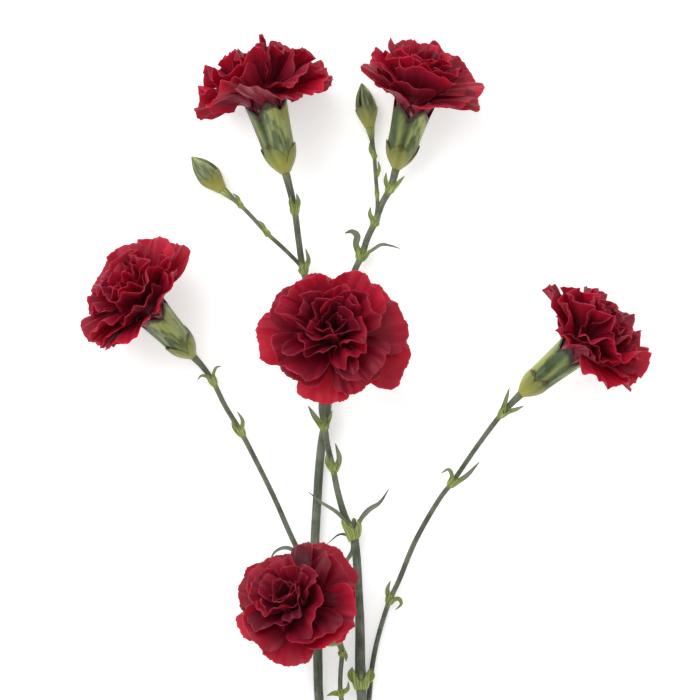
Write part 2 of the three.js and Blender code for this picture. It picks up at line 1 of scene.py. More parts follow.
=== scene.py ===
import math
import bpy
import numpy as np
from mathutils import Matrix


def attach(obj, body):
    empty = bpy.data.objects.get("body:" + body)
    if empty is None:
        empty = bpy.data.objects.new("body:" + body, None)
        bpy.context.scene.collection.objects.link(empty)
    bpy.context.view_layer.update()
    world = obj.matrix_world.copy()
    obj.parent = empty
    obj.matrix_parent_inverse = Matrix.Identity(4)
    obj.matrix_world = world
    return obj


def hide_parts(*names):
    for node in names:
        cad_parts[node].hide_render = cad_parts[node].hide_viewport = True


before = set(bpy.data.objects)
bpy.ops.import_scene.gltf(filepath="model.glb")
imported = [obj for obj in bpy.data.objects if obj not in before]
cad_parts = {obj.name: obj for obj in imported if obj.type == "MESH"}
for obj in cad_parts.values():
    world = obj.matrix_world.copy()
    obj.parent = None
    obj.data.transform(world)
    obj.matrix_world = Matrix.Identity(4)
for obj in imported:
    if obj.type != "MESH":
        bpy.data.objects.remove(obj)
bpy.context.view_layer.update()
print("frame loaded")

# Lengths are in millimetres and angles in degrees. Every place is measured from the same point as the routes
# of the stems, and the middle of the spray goes to the frame's origin.
spray = {"middle": (6.08, -38.27, 0.0), "toMetres": 0.001}

# Outer and inner scale the lengths of the two outer whorls and of the rest, and oval and skew lengthen the
# petals towards two sides or one. Spread leans the outer whorls out, droop lowers the petals on one side, and
# twist tilts the outer ones. Crumple is how deep the folds are and fine how close the creases are. Stray,
# extra and folded are the angles of single petals.
blooms = {
    "top_left": {"base": (-23.5, 64.5, 21.5), "axis": (-0.269, 0.957, 0.112), "girth": 1.0, "tone": 0.34,
                 "outer": 0.965, "inner": 1.025, "oval": -0.075, "skew": 0.025, "spread": 3.5, "droop": 5,
                 "side": 48, "crumple": 1.5, "fine": 1.6, "twist": 0.6, "seed": 30, "turn": 0,
                 "stray": (340,), "extra": (348,)},
    "top_right": {"base": (17, 67, 9.6), "axis": (0.242, 0.867, 0.436), "girth": 0.96, "tone": 0.38,
                  "outer": 0.825, "inner": 1.08, "oval": -0.015, "skew": 0.03, "spread": -7.5, "droop": 14.7,
                  "side": 57, "crumple": 0.7, "fine": 1.1, "twist": 0.0, "seed": 20, "turn": 0},
    "left": {"base": (-58, -2.5, 7), "axis": (-0.575, 0.639, 0.511), "girth": 0.88, "tone": 0.46,
             "outer": 0.905, "inner": 1.07, "oval": -0.03, "skew": 0.02, "spread": -8, "droop": 16,
             "side": 172, "crumple": 1.1, "fine": 1.2, "twist": 0.0, "seed": 12, "turn": 58, "extra": (258,)},
    "right": {"base": (62.5, -16.5, 17), "axis": (0.74, 0.618, 0.266), "girth": 0.84, "tone": 0.36,
              "outer": 0.9, "inner": 1.07, "oval": 0.01, "skew": 0.05, "spread": -7, "droop": 4,
              "side": 333, "crumple": 1.5, "fine": 1.5, "twist": 0.3, "seed": 16, "turn": 57,
              "extra": (216,)},
    "centre": {"base": (-6, -7.5, 13.2), "axis": (0.011, 0.405, 0.914), "girth": 1.0, "tone": 0.34,
               "outer": 0.91, "inner": 1.07, "oval": 0.1, "skew": 0.0, "spread": 6, "droop": 14,
               "side": 289, "crumple": 1.0, "fine": 1.0, "twist": 0.0, "seed": 86, "turn": 44,
               "folded": (284, 215, 170)},
    # The lower bloom's low tone is painted shade for its deep, shaded throat.
    "lower": {"base": (-4, -108, 8.6), "axis": (-0.479, 0.479, 0.735), "girth": 0.85, "tone": 0.24,
              "outer": 0.9, "inner": 0.95, "oval": -0.02, "skew": 0.0, "spread": -1, "droop": 12.5,
              "side": 22, "crumple": 0.8, "fine": 1.0, "twist": 0.58, "seed": 98, "turn": 56,
              "extra": (321,)},
}

buds = {
    "left": {"base": (-47, 59, 5.1), "axis": (-0.679, 0.734, 0.02), "girth": 0.94, "cleft": 0.45,
             "cleftAt": 8},
    "right": {"base": (7.5, 82, 4.9), "axis": (-0.183, 0.983, 0.018), "girth": 0.85, "cleft": 0.9,
              "cleftAt": 245},
}


# A repeatable number from -1 to 1: the fraction of a large sine of seed, petal and value, spread over that
# range.
def vary(seed, petal, value):
    wave = math.sin(seed * 12.9898 + petal * 78.233 + value * 37.719) * 43758.5453
    return 2 * (wave - math.floor(wave)) - 1


def held(value):  # between 0 and 1
    return np.clip(value, 0, 1)


# A bell curve: one where the distance is nought, and e to the power minus one where it is the width.
def bell(distance, width):
    return np.exp(-(distance / width) ** 2)


def roundAngles(count):  # even angles once round, in radians
    return 2 * math.pi * np.arange(count) / count


# Three values side by side on one grid: a point, a place in the grain, or the three masks.
def triple(first, second, third):
    return np.stack(np.broadcast_arrays(first, second, third), -1)


def roundPoint(radius, angle, height):  # the point at an angle round the Z axis
    return triple(radius * np.cos(angle), radius * np.sin(angle), height)


# The smallest turn that takes +Z onto the axis, as a 3 by 3 matrix: one, plus the cross matrix of +Z and the
# axis, plus its square over one more than the axis's height.
def turnOnto(axis):
    a = np.array(axis, float) / np.linalg.norm(axis)
    cross = np.array([[0, 0, a[0]], [0, 0, a[1]], [-a[0], -a[1], 0]])
    return np.eye(3) + cross + cross @ cross / (1 + a[2])


def placed(points, carried):  # turned onto the axis of what carries them and moved to its base
    return points @ turnOnto(carried["axis"]).T + np.array(carried["base"], float)


def walkedAlong(path):  # the length of a path up to each of its points
    return np.concatenate([[0], np.cumsum(np.linalg.norm(np.diff(path, axis=0), axis=1))])


def pointsAt(where, known, path):  # a path's points at the places where, measured as the known ones are
    return np.stack([np.interp(where, known, path[:, k]) for k in range(3)], -1)


# A smooth curve through the points: each stretch is a cubic whose end slopes come from the neighbouring
# points, weighted by the square roots of the distances between them. Where runs from 0 to the last point's
# number.
def smoothCurve(points, where):
    p = np.array(points, float)
    p = np.vstack([2 * p[0] - p[1], p, 2 * p[-1] - p[-2]])
    gap = np.maximum(np.linalg.norm(np.diff(p[:, :3], axis=0), axis=1), 1e-6) ** 0.5
    i = np.clip(where.astype(int), 0, len(points) - 2)
    t = (where - i)[:, None]
    a, b, c, d = p[i], p[i + 1], p[i + 2], p[i + 3]
    ga, gb, gc = gap[i][:, None], gap[i + 1][:, None], gap[i + 2][:, None]
    slopeB = ((b - a) / ga - (c - a) / (ga + gb) + (c - b) / gb) * gb
    slopeC = ((c - b) / gb - (d - b) / (gb + gc) + (d - c) / gc) * gb
    square = 3 * (c - b) - 2 * slopeB - slopeC
    cube = 2 * (b - c) + slopeB + slopeC
    return b + slopeB * t + square * t ** 2 + cube * t ** 3


# Both faces of a thin sheet and the rim between them, for a grid of rows and columns and a second one after
# it.
def sheetFaces(rows, columns):
    grid = np.arange(rows * columns).reshape(rows, columns)
    front = np.stack([grid[:-1, :-1], grid[:-1, 1:], grid[1:, 1:], grid[1:, :-1]], -1).reshape(-1, 4)
    loop = np.concatenate([grid[0, :-1], grid[:-1, -1], grid[-1, :0:-1], grid[:0:-1, 0]])
    onward = np.roll(loop, -1)
    count = rows * columns
    rim = np.stack([onward, loop, loop + count, onward + count], -1)
    return np.concatenate([front, front[:, ::-1] + count, rim])


# Rings that close on themselves, with a point at each end: the grid's rows, then the first pole and the last.
def ringFaces(rows, sides):
    grid = np.arange(rows * sides).reshape(rows, sides)
    after = np.roll(grid, -1, axis=1)
    wall = np.stack([grid[:-1], after[:-1], after[1:], grid[1:]], -1).reshape(-1, 4)
    first = np.stack([after[0], grid[0], np.full(sides, rows * sides)], -1)
    last = np.stack([grid[-1], after[-1], np.full(sides, rows * sides + 1)], -1)
    return wall.tolist() + first.tolist() + last.tolist()


# A part of a piece: its points, its faces, the space that its grain runs in and its three masks. Each pole
# lies in the middle of its ring.
def ringPart(points, flow, marks):
    rows, sides = points.shape[:2]
    part = {"faces": ringFaces(rows, sides)}
    for key, values in (("points", points), ("flow", flow), ("marks", marks)):
        poles = np.stack([values[0].mean(0), values[-1].mean(0)])
        part[key] = np.concatenate([values.reshape(-1, 3), poles])
    return part


# A sheet's faces lie half its thickness to each side of the surface, along the cross product of its
# directions.
def sheetPart(surface, thickness, flow, marks, underMarks):
    rows, columns = surface.shape[:2]
    normal = np.cross(np.gradient(surface, axis=1), np.gradient(surface, axis=0))
    normal /= np.maximum(np.linalg.norm(normal, axis=-1, keepdims=True), 1e-9)
    half = normal * thickness[..., None] / 2
    return {"points": np.concatenate([(surface + half).reshape(-1, 3), (surface - half).reshape(-1, 3)]),
            "faces": sheetFaces(rows, columns).tolist(),
            "flow": np.concatenate([flow.reshape(-1, 3)] * 2),
            "marks": np.concatenate([marks.reshape(-1, 3), underMarks.reshape(-1, 3)])}


def newObject(name, data):
    thing = bpy.data.objects.new(name, data)
    bpy.context.scene.collection.objects.link(thing)
    return thing


# One piece of the spray: the mesh of all its parts, in metres and never under the floor, with flow and marks
# as attributes for its material.
def addPiece(name, parts, material, slotName, *replaced):
    starts = np.cumsum([0] + [len(part["points"]) for part in parts]).tolist()
    points = np.concatenate([part["points"] for part in parts])
    points[:, 2] = np.maximum(points[:, 2], 0)
    faces = [[start + corner for corner in face]
             for start, part in zip(starts, parts) for face in part["faces"]]
    mesh = bpy.data.meshes.new(name)
    mesh.from_pydata(((points - spray["middle"]) * spray["toMetres"]).tolist(), [], faces)
    for key in ("flow", "marks"):
        values = np.concatenate([part[key] for part in parts]).astype(np.float32)
        mesh.attributes.new(key, "FLOAT_VECTOR", "POINT").data.foreach_set("vector", values.ravel())
    mesh.polygons.foreach_set("use_smooth", np.ones(len(mesh.polygons), bool))
    mesh.materials.append(material)
    mesh.update()
    piece = newObject(name, mesh)
    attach(piece, "root")
    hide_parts(*replaced)


# A colour from 0 to 255 as linear light: its share of 255 plus 0.055, over 1.055, to the power 2.4, or where
# it is nearly black its share over 12.92.
def linear(red, green, blue):
    shares = [colour / 255 for colour in (red, green, blue)]
    return tuple(((s + 0.055) / 1.055) ** 2.4 if s > 0.04 else s / 12.92 for s in shares) + (1.0,)


def tints(**colours):
    return {name: linear(*colour) for name, colour in colours.items()}


# The nodes of one material or group, with short ways to add, set and join them.
class Nodes:
    def __init__(self, tree):
        self.tree = tree

    def add(self, kind, **settings):
        node = self.tree.nodes.new(kind)
        for key, value in settings.items():
            setattr(node, key, value)
        return node

    def join(self, source, target):
        self.tree.links.new(source, target)

    def put(self, value, socket):  # a number or colour is set, and another node's output is joined
        if isinstance(value, bpy.types.NodeSocket):
            self.join(value, socket)
        else:
            socket.default_value = value

    def maths(self, operation, *values):
        node = self.add("ShaderNodeMath", operation=operation)
        for socket, value in zip(node.inputs, values):
            self.put(value, socket)
        return node.outputs[0]

    def blend(self, share, first, second):
        node = self.add("ShaderNodeMix", data_type="RGBA")
        for number, value in ((0, share), (6, first), (7, second)):
            self.put(value, node.inputs[number])
        return node.outputs[2]

    def ramp(self, value, low, high, start=0.0, end=1.0):  # from start to end as value goes from low to high
        node = self.add("ShaderNodeMapRange", interpolation_type="SMOOTHSTEP")
        for socket, given in zip(node.inputs, (value, low, high, start, end)):
            self.put(given, socket)
        return node.outputs[0]

    def noise(self, vector, scale, detail=2.0, roughness=0.5):
        node = self.add("ShaderNodeTexNoise")
        given = {"Vector": vector, "Scale": scale, "Detail": detail, "Roughness": roughness}
        for label, value in given.items():
            self.put(value, node.inputs[label])
        return node.outputs["Fac"]

    def stretch(self, vector, scales):
        node = self.add("ShaderNodeVectorMath", operation="MULTIPLY")
        self.put(vector, node.inputs[0])
        self.put(scales, node.inputs[1])
        return node.outputs[0]

    def attribute(self, name):
        return self.add("ShaderNodeAttribute", attribute_name=name).outputs["Vector"]

    def splitUp(self, vector):
        node = self.add("ShaderNodeSeparateXYZ")
        self.join(vector, node.inputs[0])
        return node.outputs

    def group(self, tree, **given):
        node = self.add("ShaderNodeGroup", node_tree=tree)
        for label, value in given.items():
            self.put(value, node.inputs[label])
        return node.outputs

    def bump(self, shader, height, strength, distance):
        node = self.add("ShaderNodeBump")
        node.inputs["Strength"].default_value = strength
        node.inputs["Distance"].default_value = distance
        self.join(height, node.inputs["Height"])
        self.join(node.outputs[0], shader.inputs["Normal"])


def newGroup(name, vector, numbers, outputs):
    tree = bpy.data.node_groups.new(name, "ShaderNodeTree")
    tree.interface.new_socket(vector, in_out="INPUT", socket_type="NodeSocketVector")
    for label in numbers:
        tree.interface.new_socket(label, in_out="INPUT", socket_type="NodeSocketFloat")
    for label in outputs:
        tree.interface.new_socket(label, in_out="OUTPUT", socket_type="NodeSocketFloat")
    nodes = Nodes(tree)
    return nodes, nodes.add("NodeGroupInput").outputs, nodes.add("NodeGroupOutput").inputs


# Fine lines along the grain: noise in the grain's own space, squeezed across it and drawn out along it.
def makeGrain():
    nodes, given, out = newGroup("lengthwise grain", "Grain", ("Across", "Along"), ("Lines", "Fibres"))
    scales = nodes.add("ShaderNodeCombineXYZ")
    for socket, label in zip(scales.inputs, ("Across", "Across", "Along")):
        nodes.join(given[label], socket)
    drawn = nodes.stretch(given["Grain"], scales.outputs[0])
    nodes.join(nodes.ramp(nodes.noise(drawn, 1.0, 3.0), 0.38, 0.62), out["Lines"])
    nodes.join(nodes.noise(drawn, 3.1, 2.0), out["Fibres"])
    return nodes.tree


# The pale waxy film on green parts: large soft patches broken up by a finer noise, and a few small specks.
def makeWax():
    nodes, given, out = newGroup("waxy film", "Place", ("Size",), ("Film", "Specks"))
    sized = nodes.add("ShaderNodeVectorMath", operation="SCALE")
    nodes.join(given["Place"], sized.inputs[0])
    nodes.join(given["Size"], sized.inputs["Scale"])
    large = nodes.noise(sized.outputs[0], 1.0, 2.0)
    fine = nodes.noise(sized.outputs[0], 7.0, 3.0, 0.7)
    nodes.join(nodes.ramp(nodes.maths("MULTIPLY_ADD", fine, 0.5, large), 0.55, 0.95), out["Film"])
    nodes.join(nodes.ramp(nodes.noise(sized.outputs[0], 22.0, 1.0), 0.66, 0.74), out["Specks"])
    return nodes.tree


def newMaterial(name, **settings):
    material = bpy.data.materials.new(name)
    material.use_nodes = True
    nodes = Nodes(material.node_tree)
    shader = material.node_tree.nodes["Principled BSDF"]
    for label, value in settings.items():
        shader.inputs[label.replace("_", " ")].default_value = value
    return material, nodes, shader


grainGroup = makeGrain()
waxGroup = makeWax()

crimson = tints(deep=(70, 5, 25), main=(120, 10, 35), bright=(170, 18, 46), rim=(186, 64, 90),
                under=(130, 26, 50), claw=(190, 132, 124))
crimsonVeins = {"Across": 1.1, "Along": 0.03}


# Velvet petals: three reds by the petal's own tone, its veins and a soft mottle, with painted shade that
# darkens them towards the claw, a pale broken rim that is a painted highlight, and a duller underside that
# pales to its claw. Light glows through them a little.
def makeCrimson():
    material, nodes, shader = newMaterial("crimson petals", Roughness=0.5, Specular_IOR_Level=0.22,
                                          Sheen_Weight=0.1, Sheen_Roughness=0.35,
                                          Sheen_Tint=(1.0, 0.16, 0.28, 1.0),
                                          Subsurface_Weight=0.6, Subsurface_Radius=(1.0, 0.25, 0.35),
                                          Subsurface_Scale=0.0012)
    flow = nodes.attribute("flow")
    rim, under, tone = nodes.splitUp(nodes.attribute("marks"))[:3]
    reach = nodes.splitUp(flow)[2]
    grain = nodes.group(grainGroup, Grain=flow, **crimsonVeins)
    mottle = nodes.noise(flow, 0.12, 3.0, 0.55)
    light = nodes.maths("MULTIPLY_ADD", grain["Lines"], 0.07, nodes.maths("MULTIPLY_ADD", mottle, 0.7, tone))
    red = nodes.blend(nodes.ramp(light, 0.2, 0.7), crimson["deep"], crimson["main"])
    red = nodes.blend(nodes.ramp(light, 0.6, 1.1), red, crimson["bright"])
    # Painted shade: towards the claw the red darkens to the deep red.
    red = nodes.blend(nodes.ramp(reach, 3.0, 14.0, 0.6, 0.0), red, crimson["deep"])  # towards the claw
    back = nodes.blend(nodes.ramp(reach, -2.0, 3.5), crimson["claw"], crimson["under"])
    back = nodes.blend(nodes.ramp(reach, 5.0, 18.0, 0.0, 0.7), back, red)
    red = nodes.blend(under, red, back)
    # The pale rim is a painted highlight, broken up by a noise.
    pale = nodes.ramp(nodes.noise(flow, 0.3, 2.0), 0.35, 0.7, 0.05, 0.36)
    red = nodes.blend(nodes.maths("MULTIPLY", rim, pale), red, crimson["rim"])
    nodes.join(red, shader.inputs["Base Color"])
    nodes.bump(shader, nodes.maths("MULTIPLY_ADD", grain["Fibres"], 0.5, grain["Lines"]), 0.1, 0.0002)
    return material


leafGreen = tints(main=(78, 87, 66), pale=(128, 136, 116), dark=(44, 49, 40), joint=(112, 128, 44),
                  lip=(168, 180, 108), dry=(66, 58, 46))
stemFibres = {"Across": 2.2, "Along": 0.12}


# Stems and leaves: grey-green with dark lines along them under a pale waxy film, a fresh yellow-green at the
# joints, sheaths and small leaves, and dry brown leaf tips.
def makeGreen():
    material, nodes, shader = newMaterial("waxy green stem", Roughness=0.52, Specular_IOR_Level=0.35)
    flow = nodes.attribute("flow")
    joint, tip, young = nodes.splitUp(nodes.attribute("marks"))[:3]
    place = nodes.add("ShaderNodeTexCoord").outputs["Object"]
    grain = nodes.group(grainGroup, Grain=flow, **stemFibres)
    wax = nodes.group(waxGroup, Place=place, Size=160.0)
    lines = nodes.ramp(grain["Lines"], 0.0, 1.0, 0.0, 0.6)
    green = nodes.blend(lines, leafGreen["main"], leafGreen["dark"])
    green = nodes.blend(nodes.maths("MULTIPLY", wax["Film"], 0.5), green, leafGreen["pale"])
    yellow = nodes.maths("MULTIPLY", joint, nodes.maths("MULTIPLY_ADD", grain["Fibres"], 0.6, 0.55))
    green = nodes.blend(nodes.ramp(tip, 0.0, 0.4, 0.0, 0.45), green, leafGreen["pale"])
    fresh = nodes.blend(nodes.ramp(grain["Lines"], 0.2, 1.0), leafGreen["joint"], leafGreen["lip"])
    green = nodes.blend(nodes.ramp(yellow, 0.1, 0.9), green, fresh)
    green = nodes.blend(nodes.maths("MULTIPLY", young, 0.5), green, fresh)
    green = nodes.blend(nodes.maths("MULTIPLY", wax["Specks"], 0.35), green, leafGreen["pale"])
    green = nodes.blend(nodes.ramp(tip, 0.7, 1.0, 0.0, 0.7), green, leafGreen["dry"])
    nodes.join(green, shader.inputs["Base Color"])
    nodes.bump(shader, nodes.maths("ADD", grain["Lines"], grain["Fibres"]), 0.4, 0.0002)
    return material


cupGreen = tints(main=(84, 100, 34), pale=(166, 174, 88), vein=(38, 58, 15), base=(160, 156, 66),
                 tooth=(48, 24, 30), spot=(76, 54, 32), film=(146, 160, 132))
cupVeins = {"Across": 1.3, "Along": 0.014}
cupBands = {"Across": 0.16, "Along": 0.012}
cupPatches = {"stretch": (0.19, 0.19, 0.07), "detail": 3.0, "roughness": 0.6}


# Cups and buds: broad bands of pale and dark green with fine dark veins on them, strips and patches of grey
# film, long dark patches, a yellower base, purplish brown in spots at the tips of the scales, and purplish
# brown on the teeth, partly their own colour and partly painted shade at the mouth under the petals and in
# the cleft of a bud.
def makeCup(name, film):
    material, nodes, shader = newMaterial(name, Roughness=0.36, Specular_IOR_Level=0.35)
    flow = nodes.attribute("flow")
    base, tooth, scale = nodes.splitUp(nodes.attribute("marks"))[:3]
    place = nodes.add("ShaderNodeTexCoord").outputs["Object"]
    grain = nodes.group(grainGroup, Grain=flow, **cupVeins)
    bands = nodes.group(grainGroup, Grain=flow, **cupBands)
    wax = nodes.group(waxGroup, Place=place, Size=130.0)
    green = nodes.blend(bands["Lines"], cupGreen["vein"], cupGreen["pale"])
    green = nodes.blend(nodes.maths("MULTIPLY", grain["Lines"], 0.35), green, cupGreen["main"])
    green = nodes.blend(nodes.ramp(grain["Fibres"], 0.5, 0.75, 0.0, 0.4), green, cupGreen["vein"])
    green = nodes.blend(nodes.ramp(bands["Fibres"], 0.52, 0.64, 0.0, film), green, cupGreen["film"])
    stretched = nodes.stretch(flow, cupPatches["stretch"])
    patch = nodes.noise(stretched, 1.0, cupPatches["detail"], cupPatches["roughness"])
    green = nodes.blend(nodes.ramp(patch, 0.46, 0.62, 0.0, 0.85), green, cupGreen["vein"])
    green = nodes.blend(base, green, cupGreen["base"])
    green = nodes.blend(nodes.maths("MULTIPLY", wax["Film"], 0.15), green, cupGreen["film"])
    # Purplish brown on the teeth: partly the teeth's own colour, partly painted shade at the mouth under the
    # petals and in a bud's cleft.
    edge = nodes.maths("MULTIPLY_ADD", nodes.noise(place, 260.0, 4.0, 0.65), 2.0, tooth)
    green = nodes.blend(nodes.ramp(edge, 1.3, 1.85, 0.0, 0.9), green, cupGreen["tooth"])
    spots = nodes.maths("MULTIPLY_ADD", nodes.noise(place, 380.0, 2.0), 0.8, scale)
    green = nodes.blend(nodes.ramp(spots, 0.95, 1.3, 0.0, 0.85), green, cupGreen["spot"])
    nodes.join(green, shader.inputs["Base Color"])
    nodes.bump(shader, nodes.maths("ADD", grain["Lines"], grain["Fibres"]), 0.3, 0.00025)
    return material


petalRed = makeCrimson()
stemGreen = makeGreen()
calyxGreen = makeCup("veined green calyx", 0.38)
budGreen = makeCup("waxy green bud", 0.55)
print("materials made")

petalMake = {"wideColumns": 67, "slimColumns": 49, "clawRows": 5, "fanRows": 20, "thickness": 0.22,
             "claw": 3.6, "foot": 21, "footLean": 5, "step": 0.25, "tooth": 0.19, "teeth": 21, "rim": 0.6,
             "curl": 0.5, "darker": 0.025, "floorGap": 0.25, "floorStep": 0.08, "floorSoft": 1.6}
petalJitter = {"spin": 7, "bend": 5, "tip": 9, "length": 0.05, "waves": 0.5, "tone": 0.2}

# From the outside in: how many, how long, where they start in the cup and how far they run before they bend,
# their leans past the bend and at the tip, and the half angle of their fan. Ruffle and pleat are the heights
# of ripples and creases, cup is the bend across a millimetre, and rise and tilt lift one side of the fan.
whorls = [
    {"count": 5, "length": 25.6, "radius": 6.3, "straight": 5.4, "bend": 5.5, "leans": (82, 88), "fan": 44,
     "ruffle": 0.8, "cup": 0.012, "loose": 0.8, "rise": 0.07, "tilt": 0.05, "pleat": 0.5},
    {"count": 5, "length": 24, "radius": 5.5, "straight": 7, "bend": 6.5, "leans": (73, 79), "fan": 45,
     "ruffle": 1.1, "cup": 0.02, "loose": 0.8, "rise": 0.09, "tilt": 0.08, "pleat": 0.6},
    {"count": 4, "length": 21.7, "radius": 4.6, "straight": 8.6, "bend": 7, "leans": (57, 66), "fan": 50,
     "ruffle": 1.8, "cup": 0.035, "loose": 1.4, "rise": 0.17, "tilt": 0.25, "pleat": 0.8},
    {"count": 5, "length": 18.6, "radius": 3.8, "straight": 10, "bend": 8, "leans": (40, 52), "fan": 43,
     "ruffle": 2, "cup": 0.08, "loose": 2, "rise": 0.17, "tilt": 0.28, "pleat": 0.8},
    {"count": 4, "length": 16, "radius": 3.2, "straight": 11, "bend": 8, "leans": (23, 37), "fan": 42,
     "ruffle": 1.8, "cup": 0.14, "loose": 2, "rise": 0.17, "tilt": 0.28, "pleat": 0.8},
    {"count": 3, "length": 13.5, "radius": 2.2, "straight": 12, "bend": 8, "leans": (9, 20), "fan": 46,
     "ruffle": 1.5, "cup": 0.22, "loose": 1.5, "rise": 0.17, "tilt": 0.3, "pleat": 0.7},
    {"count": 2, "length": 11, "radius": 1, "straight": 12, "bend": 8, "leans": (5, 10), "fan": 44,
     "ruffle": 1, "cup": 0.36, "loose": 1.5, "rise": 0.17, "tilt": 0.3, "pleat": 0.5},
]
strayPetal = {"length": 18.5, "radius": 2.4, "straight": 14, "bend": 8, "leans": (9, 10), "fan": 9,
              "ruffle": 0.3, "cup": 0.09, "loose": 0, "rise": 0.17, "tilt": 0, "pleat": 0.2}
foldedPetal = {"length": 22, "radius": 3, "straight": 10, "bend": 7, "leans": (52, 72), "fan": 24,
               "ruffle": 0.6, "cup": 0.26, "loose": 0.6, "rise": 0.17, "tilt": 0.3, "pleat": 0.4}
singlePetals = (("stray", strayPetal, 90), ("extra", whorls[0], 9), ("folded", foldedPetal, 80))


# A petal's middle line, walked in even steps: nearly straight up to the bend, a smooth step of the lean
# across it, and a further lean by the power 1.5 of the way to the tip. Gives the lengths walked, and for each
# how far out and up the line has come and its lean.
def middleLine(whorl, bent, tip, start, length):
    step, foot = petalMake["step"], petalMake["footLean"]
    walked = np.arange(0, start + length + 2, step)
    bend = held((walked - whorl["straight"]) / whorl["bend"])
    rest = np.clip((walked - whorl["straight"] - whorl["bend"]) / (length - whorl["bend"]), 0, 1.2)
    lean = np.radians(foot + (bent - foot) * bend ** 2 * (3 - 2 * bend) + (tip - bent) * rest ** 1.5)
    middle = 0.5 * (lean[1:] + lean[:-1])
    outward = np.concatenate([[0], np.cumsum(step * np.sin(middle))])
    upward = np.concatenate([[0], np.cumsum(step * np.cos(middle))])
    return walked, (outward, upward, lean)


# The relief of a petal, all of it sines of the place across it: ripples that grow towards the edge, broad
# folds half way up, and sharp creases, which are the bare sizes of two sines.
def petalRelief(bloom, whorl, differ, across, high):
    waves = math.pi * (2.2 + petalJitter["waves"] * differ[5])
    phase = math.pi * differ[6]
    ripple = np.sin(waves * across + phase) + 0.4 * np.sin(2.3 * waves * across - phase)
    folds = np.sin(5 * across + 3 * differ[11]) + 0.35 * np.sin(8 * across - 3 * differ[12])
    creased = bloom["fine"] * across
    pleats = np.abs(np.sin(7 * creased + 5 * differ[9] + high))
    pleats = pleats + 0.6 * np.abs(np.sin(12 * creased - 5 * differ[10] - 2 * high))
    return (bloom["crumple"] * whorl["ruffle"] * ripple * high ** 1.4, 0.6 * folds * high * (1.3 - high),
            bloom["crumple"] * whorl["pleat"] * (pleats - 0.9) * high ** 0.8)


# One petal: a fan of straight rays from its claw, laid on its middle line. Across that line the fan cups to
# an arc, rises to one side and carries its relief. Its edge curls down by the ninth power of the way up, and
# goes in and out by two slow sines and by small uneven teeth. Petals that reach the floor are pressed up to
# just above it.
def petalPart(bloom, whorl, number, turn):
    loose = whorl["loose"]
    differ = [0] + [vary(bloom["seed"], number, value) for value in range(1, 13)]
    spin = math.radians(turn + petalJitter["spin"] * loose * differ[1])
    isOuter = number < 20
    lowered = bloom["droop"] * math.cos(spin - math.radians(bloom["side"]))
    sag = lowered * math.sin(math.radians(whorl["leans"][0]))
    spread = bloom["spread"] if isOuter else 0
    bent = whorl["leans"][0] + spread + sag + petalJitter["bend"] * loose * differ[2]
    tip = whorl["leans"][1] + spread + 1.3 * sag + petalJitter["tip"] * loose * differ[3]
    share = 1 + petalJitter["length"] * differ[4]
    share = share + bloom["oval"] * math.cos(2 * spin) + bloom["skew"] * math.cos(spin)
    length = whorl["length"] * share * (bloom["outer"] if isOuter else bloom["inner"])
    claw = petalMake["claw"]
    start = whorl["straight"] + 0.35 * whorl["bend"]
    walked, lines = middleLine(whorl, bent, tip, start, length)

    fanRows = 1 - (1 - np.linspace(0, 1, petalMake["fanRows"])) ** 1.3  # closer towards the edge
    rows = np.concatenate([np.linspace(-1, 0, petalMake["clawRows"], endpoint=False), fanRows])
    columns = petalMake["wideColumns" if number < 30 else "slimColumns"]
    across, along = np.meshgrid(np.linspace(1, -1, columns), rows)
    high, low = np.maximum(along, 0), np.minimum(along, 0)
    beat = petalMake["teeth"] * across + 2 * differ[8]
    teeth = np.sin(math.pi * beat) * (0.6 + 0.4 * np.sin(0.7 * beat)) + 0.8 * np.sin(1.31 * beat)
    lobes = 0.02 * np.sin(4 * across + 3 * differ[10]) + 0.014 * np.sin(9 * across + 3 * differ[9])
    edge = length * (1 - 0.03 * across ** 2 - 0.2 * across ** 4 - 0.32 * across ** 8 + lobes)
    fan = math.radians(whorl["fan"]) * across * (1 - 0.13 * high ** 3)
    reach = claw + (edge - claw) * high + petalMake["tooth"] * teeth * high ** 14
    sideways = reach * np.sin(fan) * (1 + 0.35 * low)
    place = np.maximum(start + reach * np.cos(fan) - claw + low * start, 0)
    out, up, angle = [np.interp(place, walked, line) for line in lines]
    ripples, folds, creases = petalRelief(bloom, whorl, differ, across, high)
    cupped = (1 - np.cos(whorl["cup"] * sideways)) / whorl["cup"]
    rise = whorl["rise"] + (whorl["tilt"] + (bloom["twist"] if isOuter else 0)) * differ[7]
    lift = cupped + rise * sideways * high + ripples + folds + creases - petalMake["curl"] * high ** 9
    x = whorl["radius"] * bloom["girth"] + out - lift * np.cos(angle)
    y = np.sin(whorl["cup"] * sideways) / whorl["cup"]
    z = petalMake["foot"] + up + lift * np.sin(angle)
    surface = triple(x * math.cos(spin) - y * math.sin(spin), x * math.sin(spin) + y * math.cos(spin), z)
    surface = placed(surface, bloom)
    ground, soft = petalMake["floorGap"] + petalMake["floorStep"] * (3 * number % 7), petalMake["floorSoft"]
    surface[..., 2] = ground + np.logaddexp(0, soft * (surface[..., 2] - ground)) / soft

    rim = held(1 - (1 - high) * (length - claw) / petalMake["rim"])
    # Each whorl further in is painted a little darker, as shade deeper in the bloom.
    tone = bloom["tone"] + petalJitter["tone"] * differ[11] - petalMake["darker"] * min(number // 10, 6)
    flow = triple(9 * across + 40 * number, 17.0, reach + 8 * low)
    thickness = petalMake["thickness"] * (1 - 0.45 * high ** 4)
    return sheetPart(surface, thickness, flow, triple(rim, 0, tone), triple(rim, 1, tone))


coreMake = {"sides": 66, "rows": 18, "from": 22, "height": 10.1, "folds": 11, "deep": 0.07, "tone": 0.1,
            "outline": [(22, 5.6), (26, 6.4), (28.4, 6.9), (30.4, 6.2), (31.6, 4), (32, 1.5), (32.1, 0.2)]}
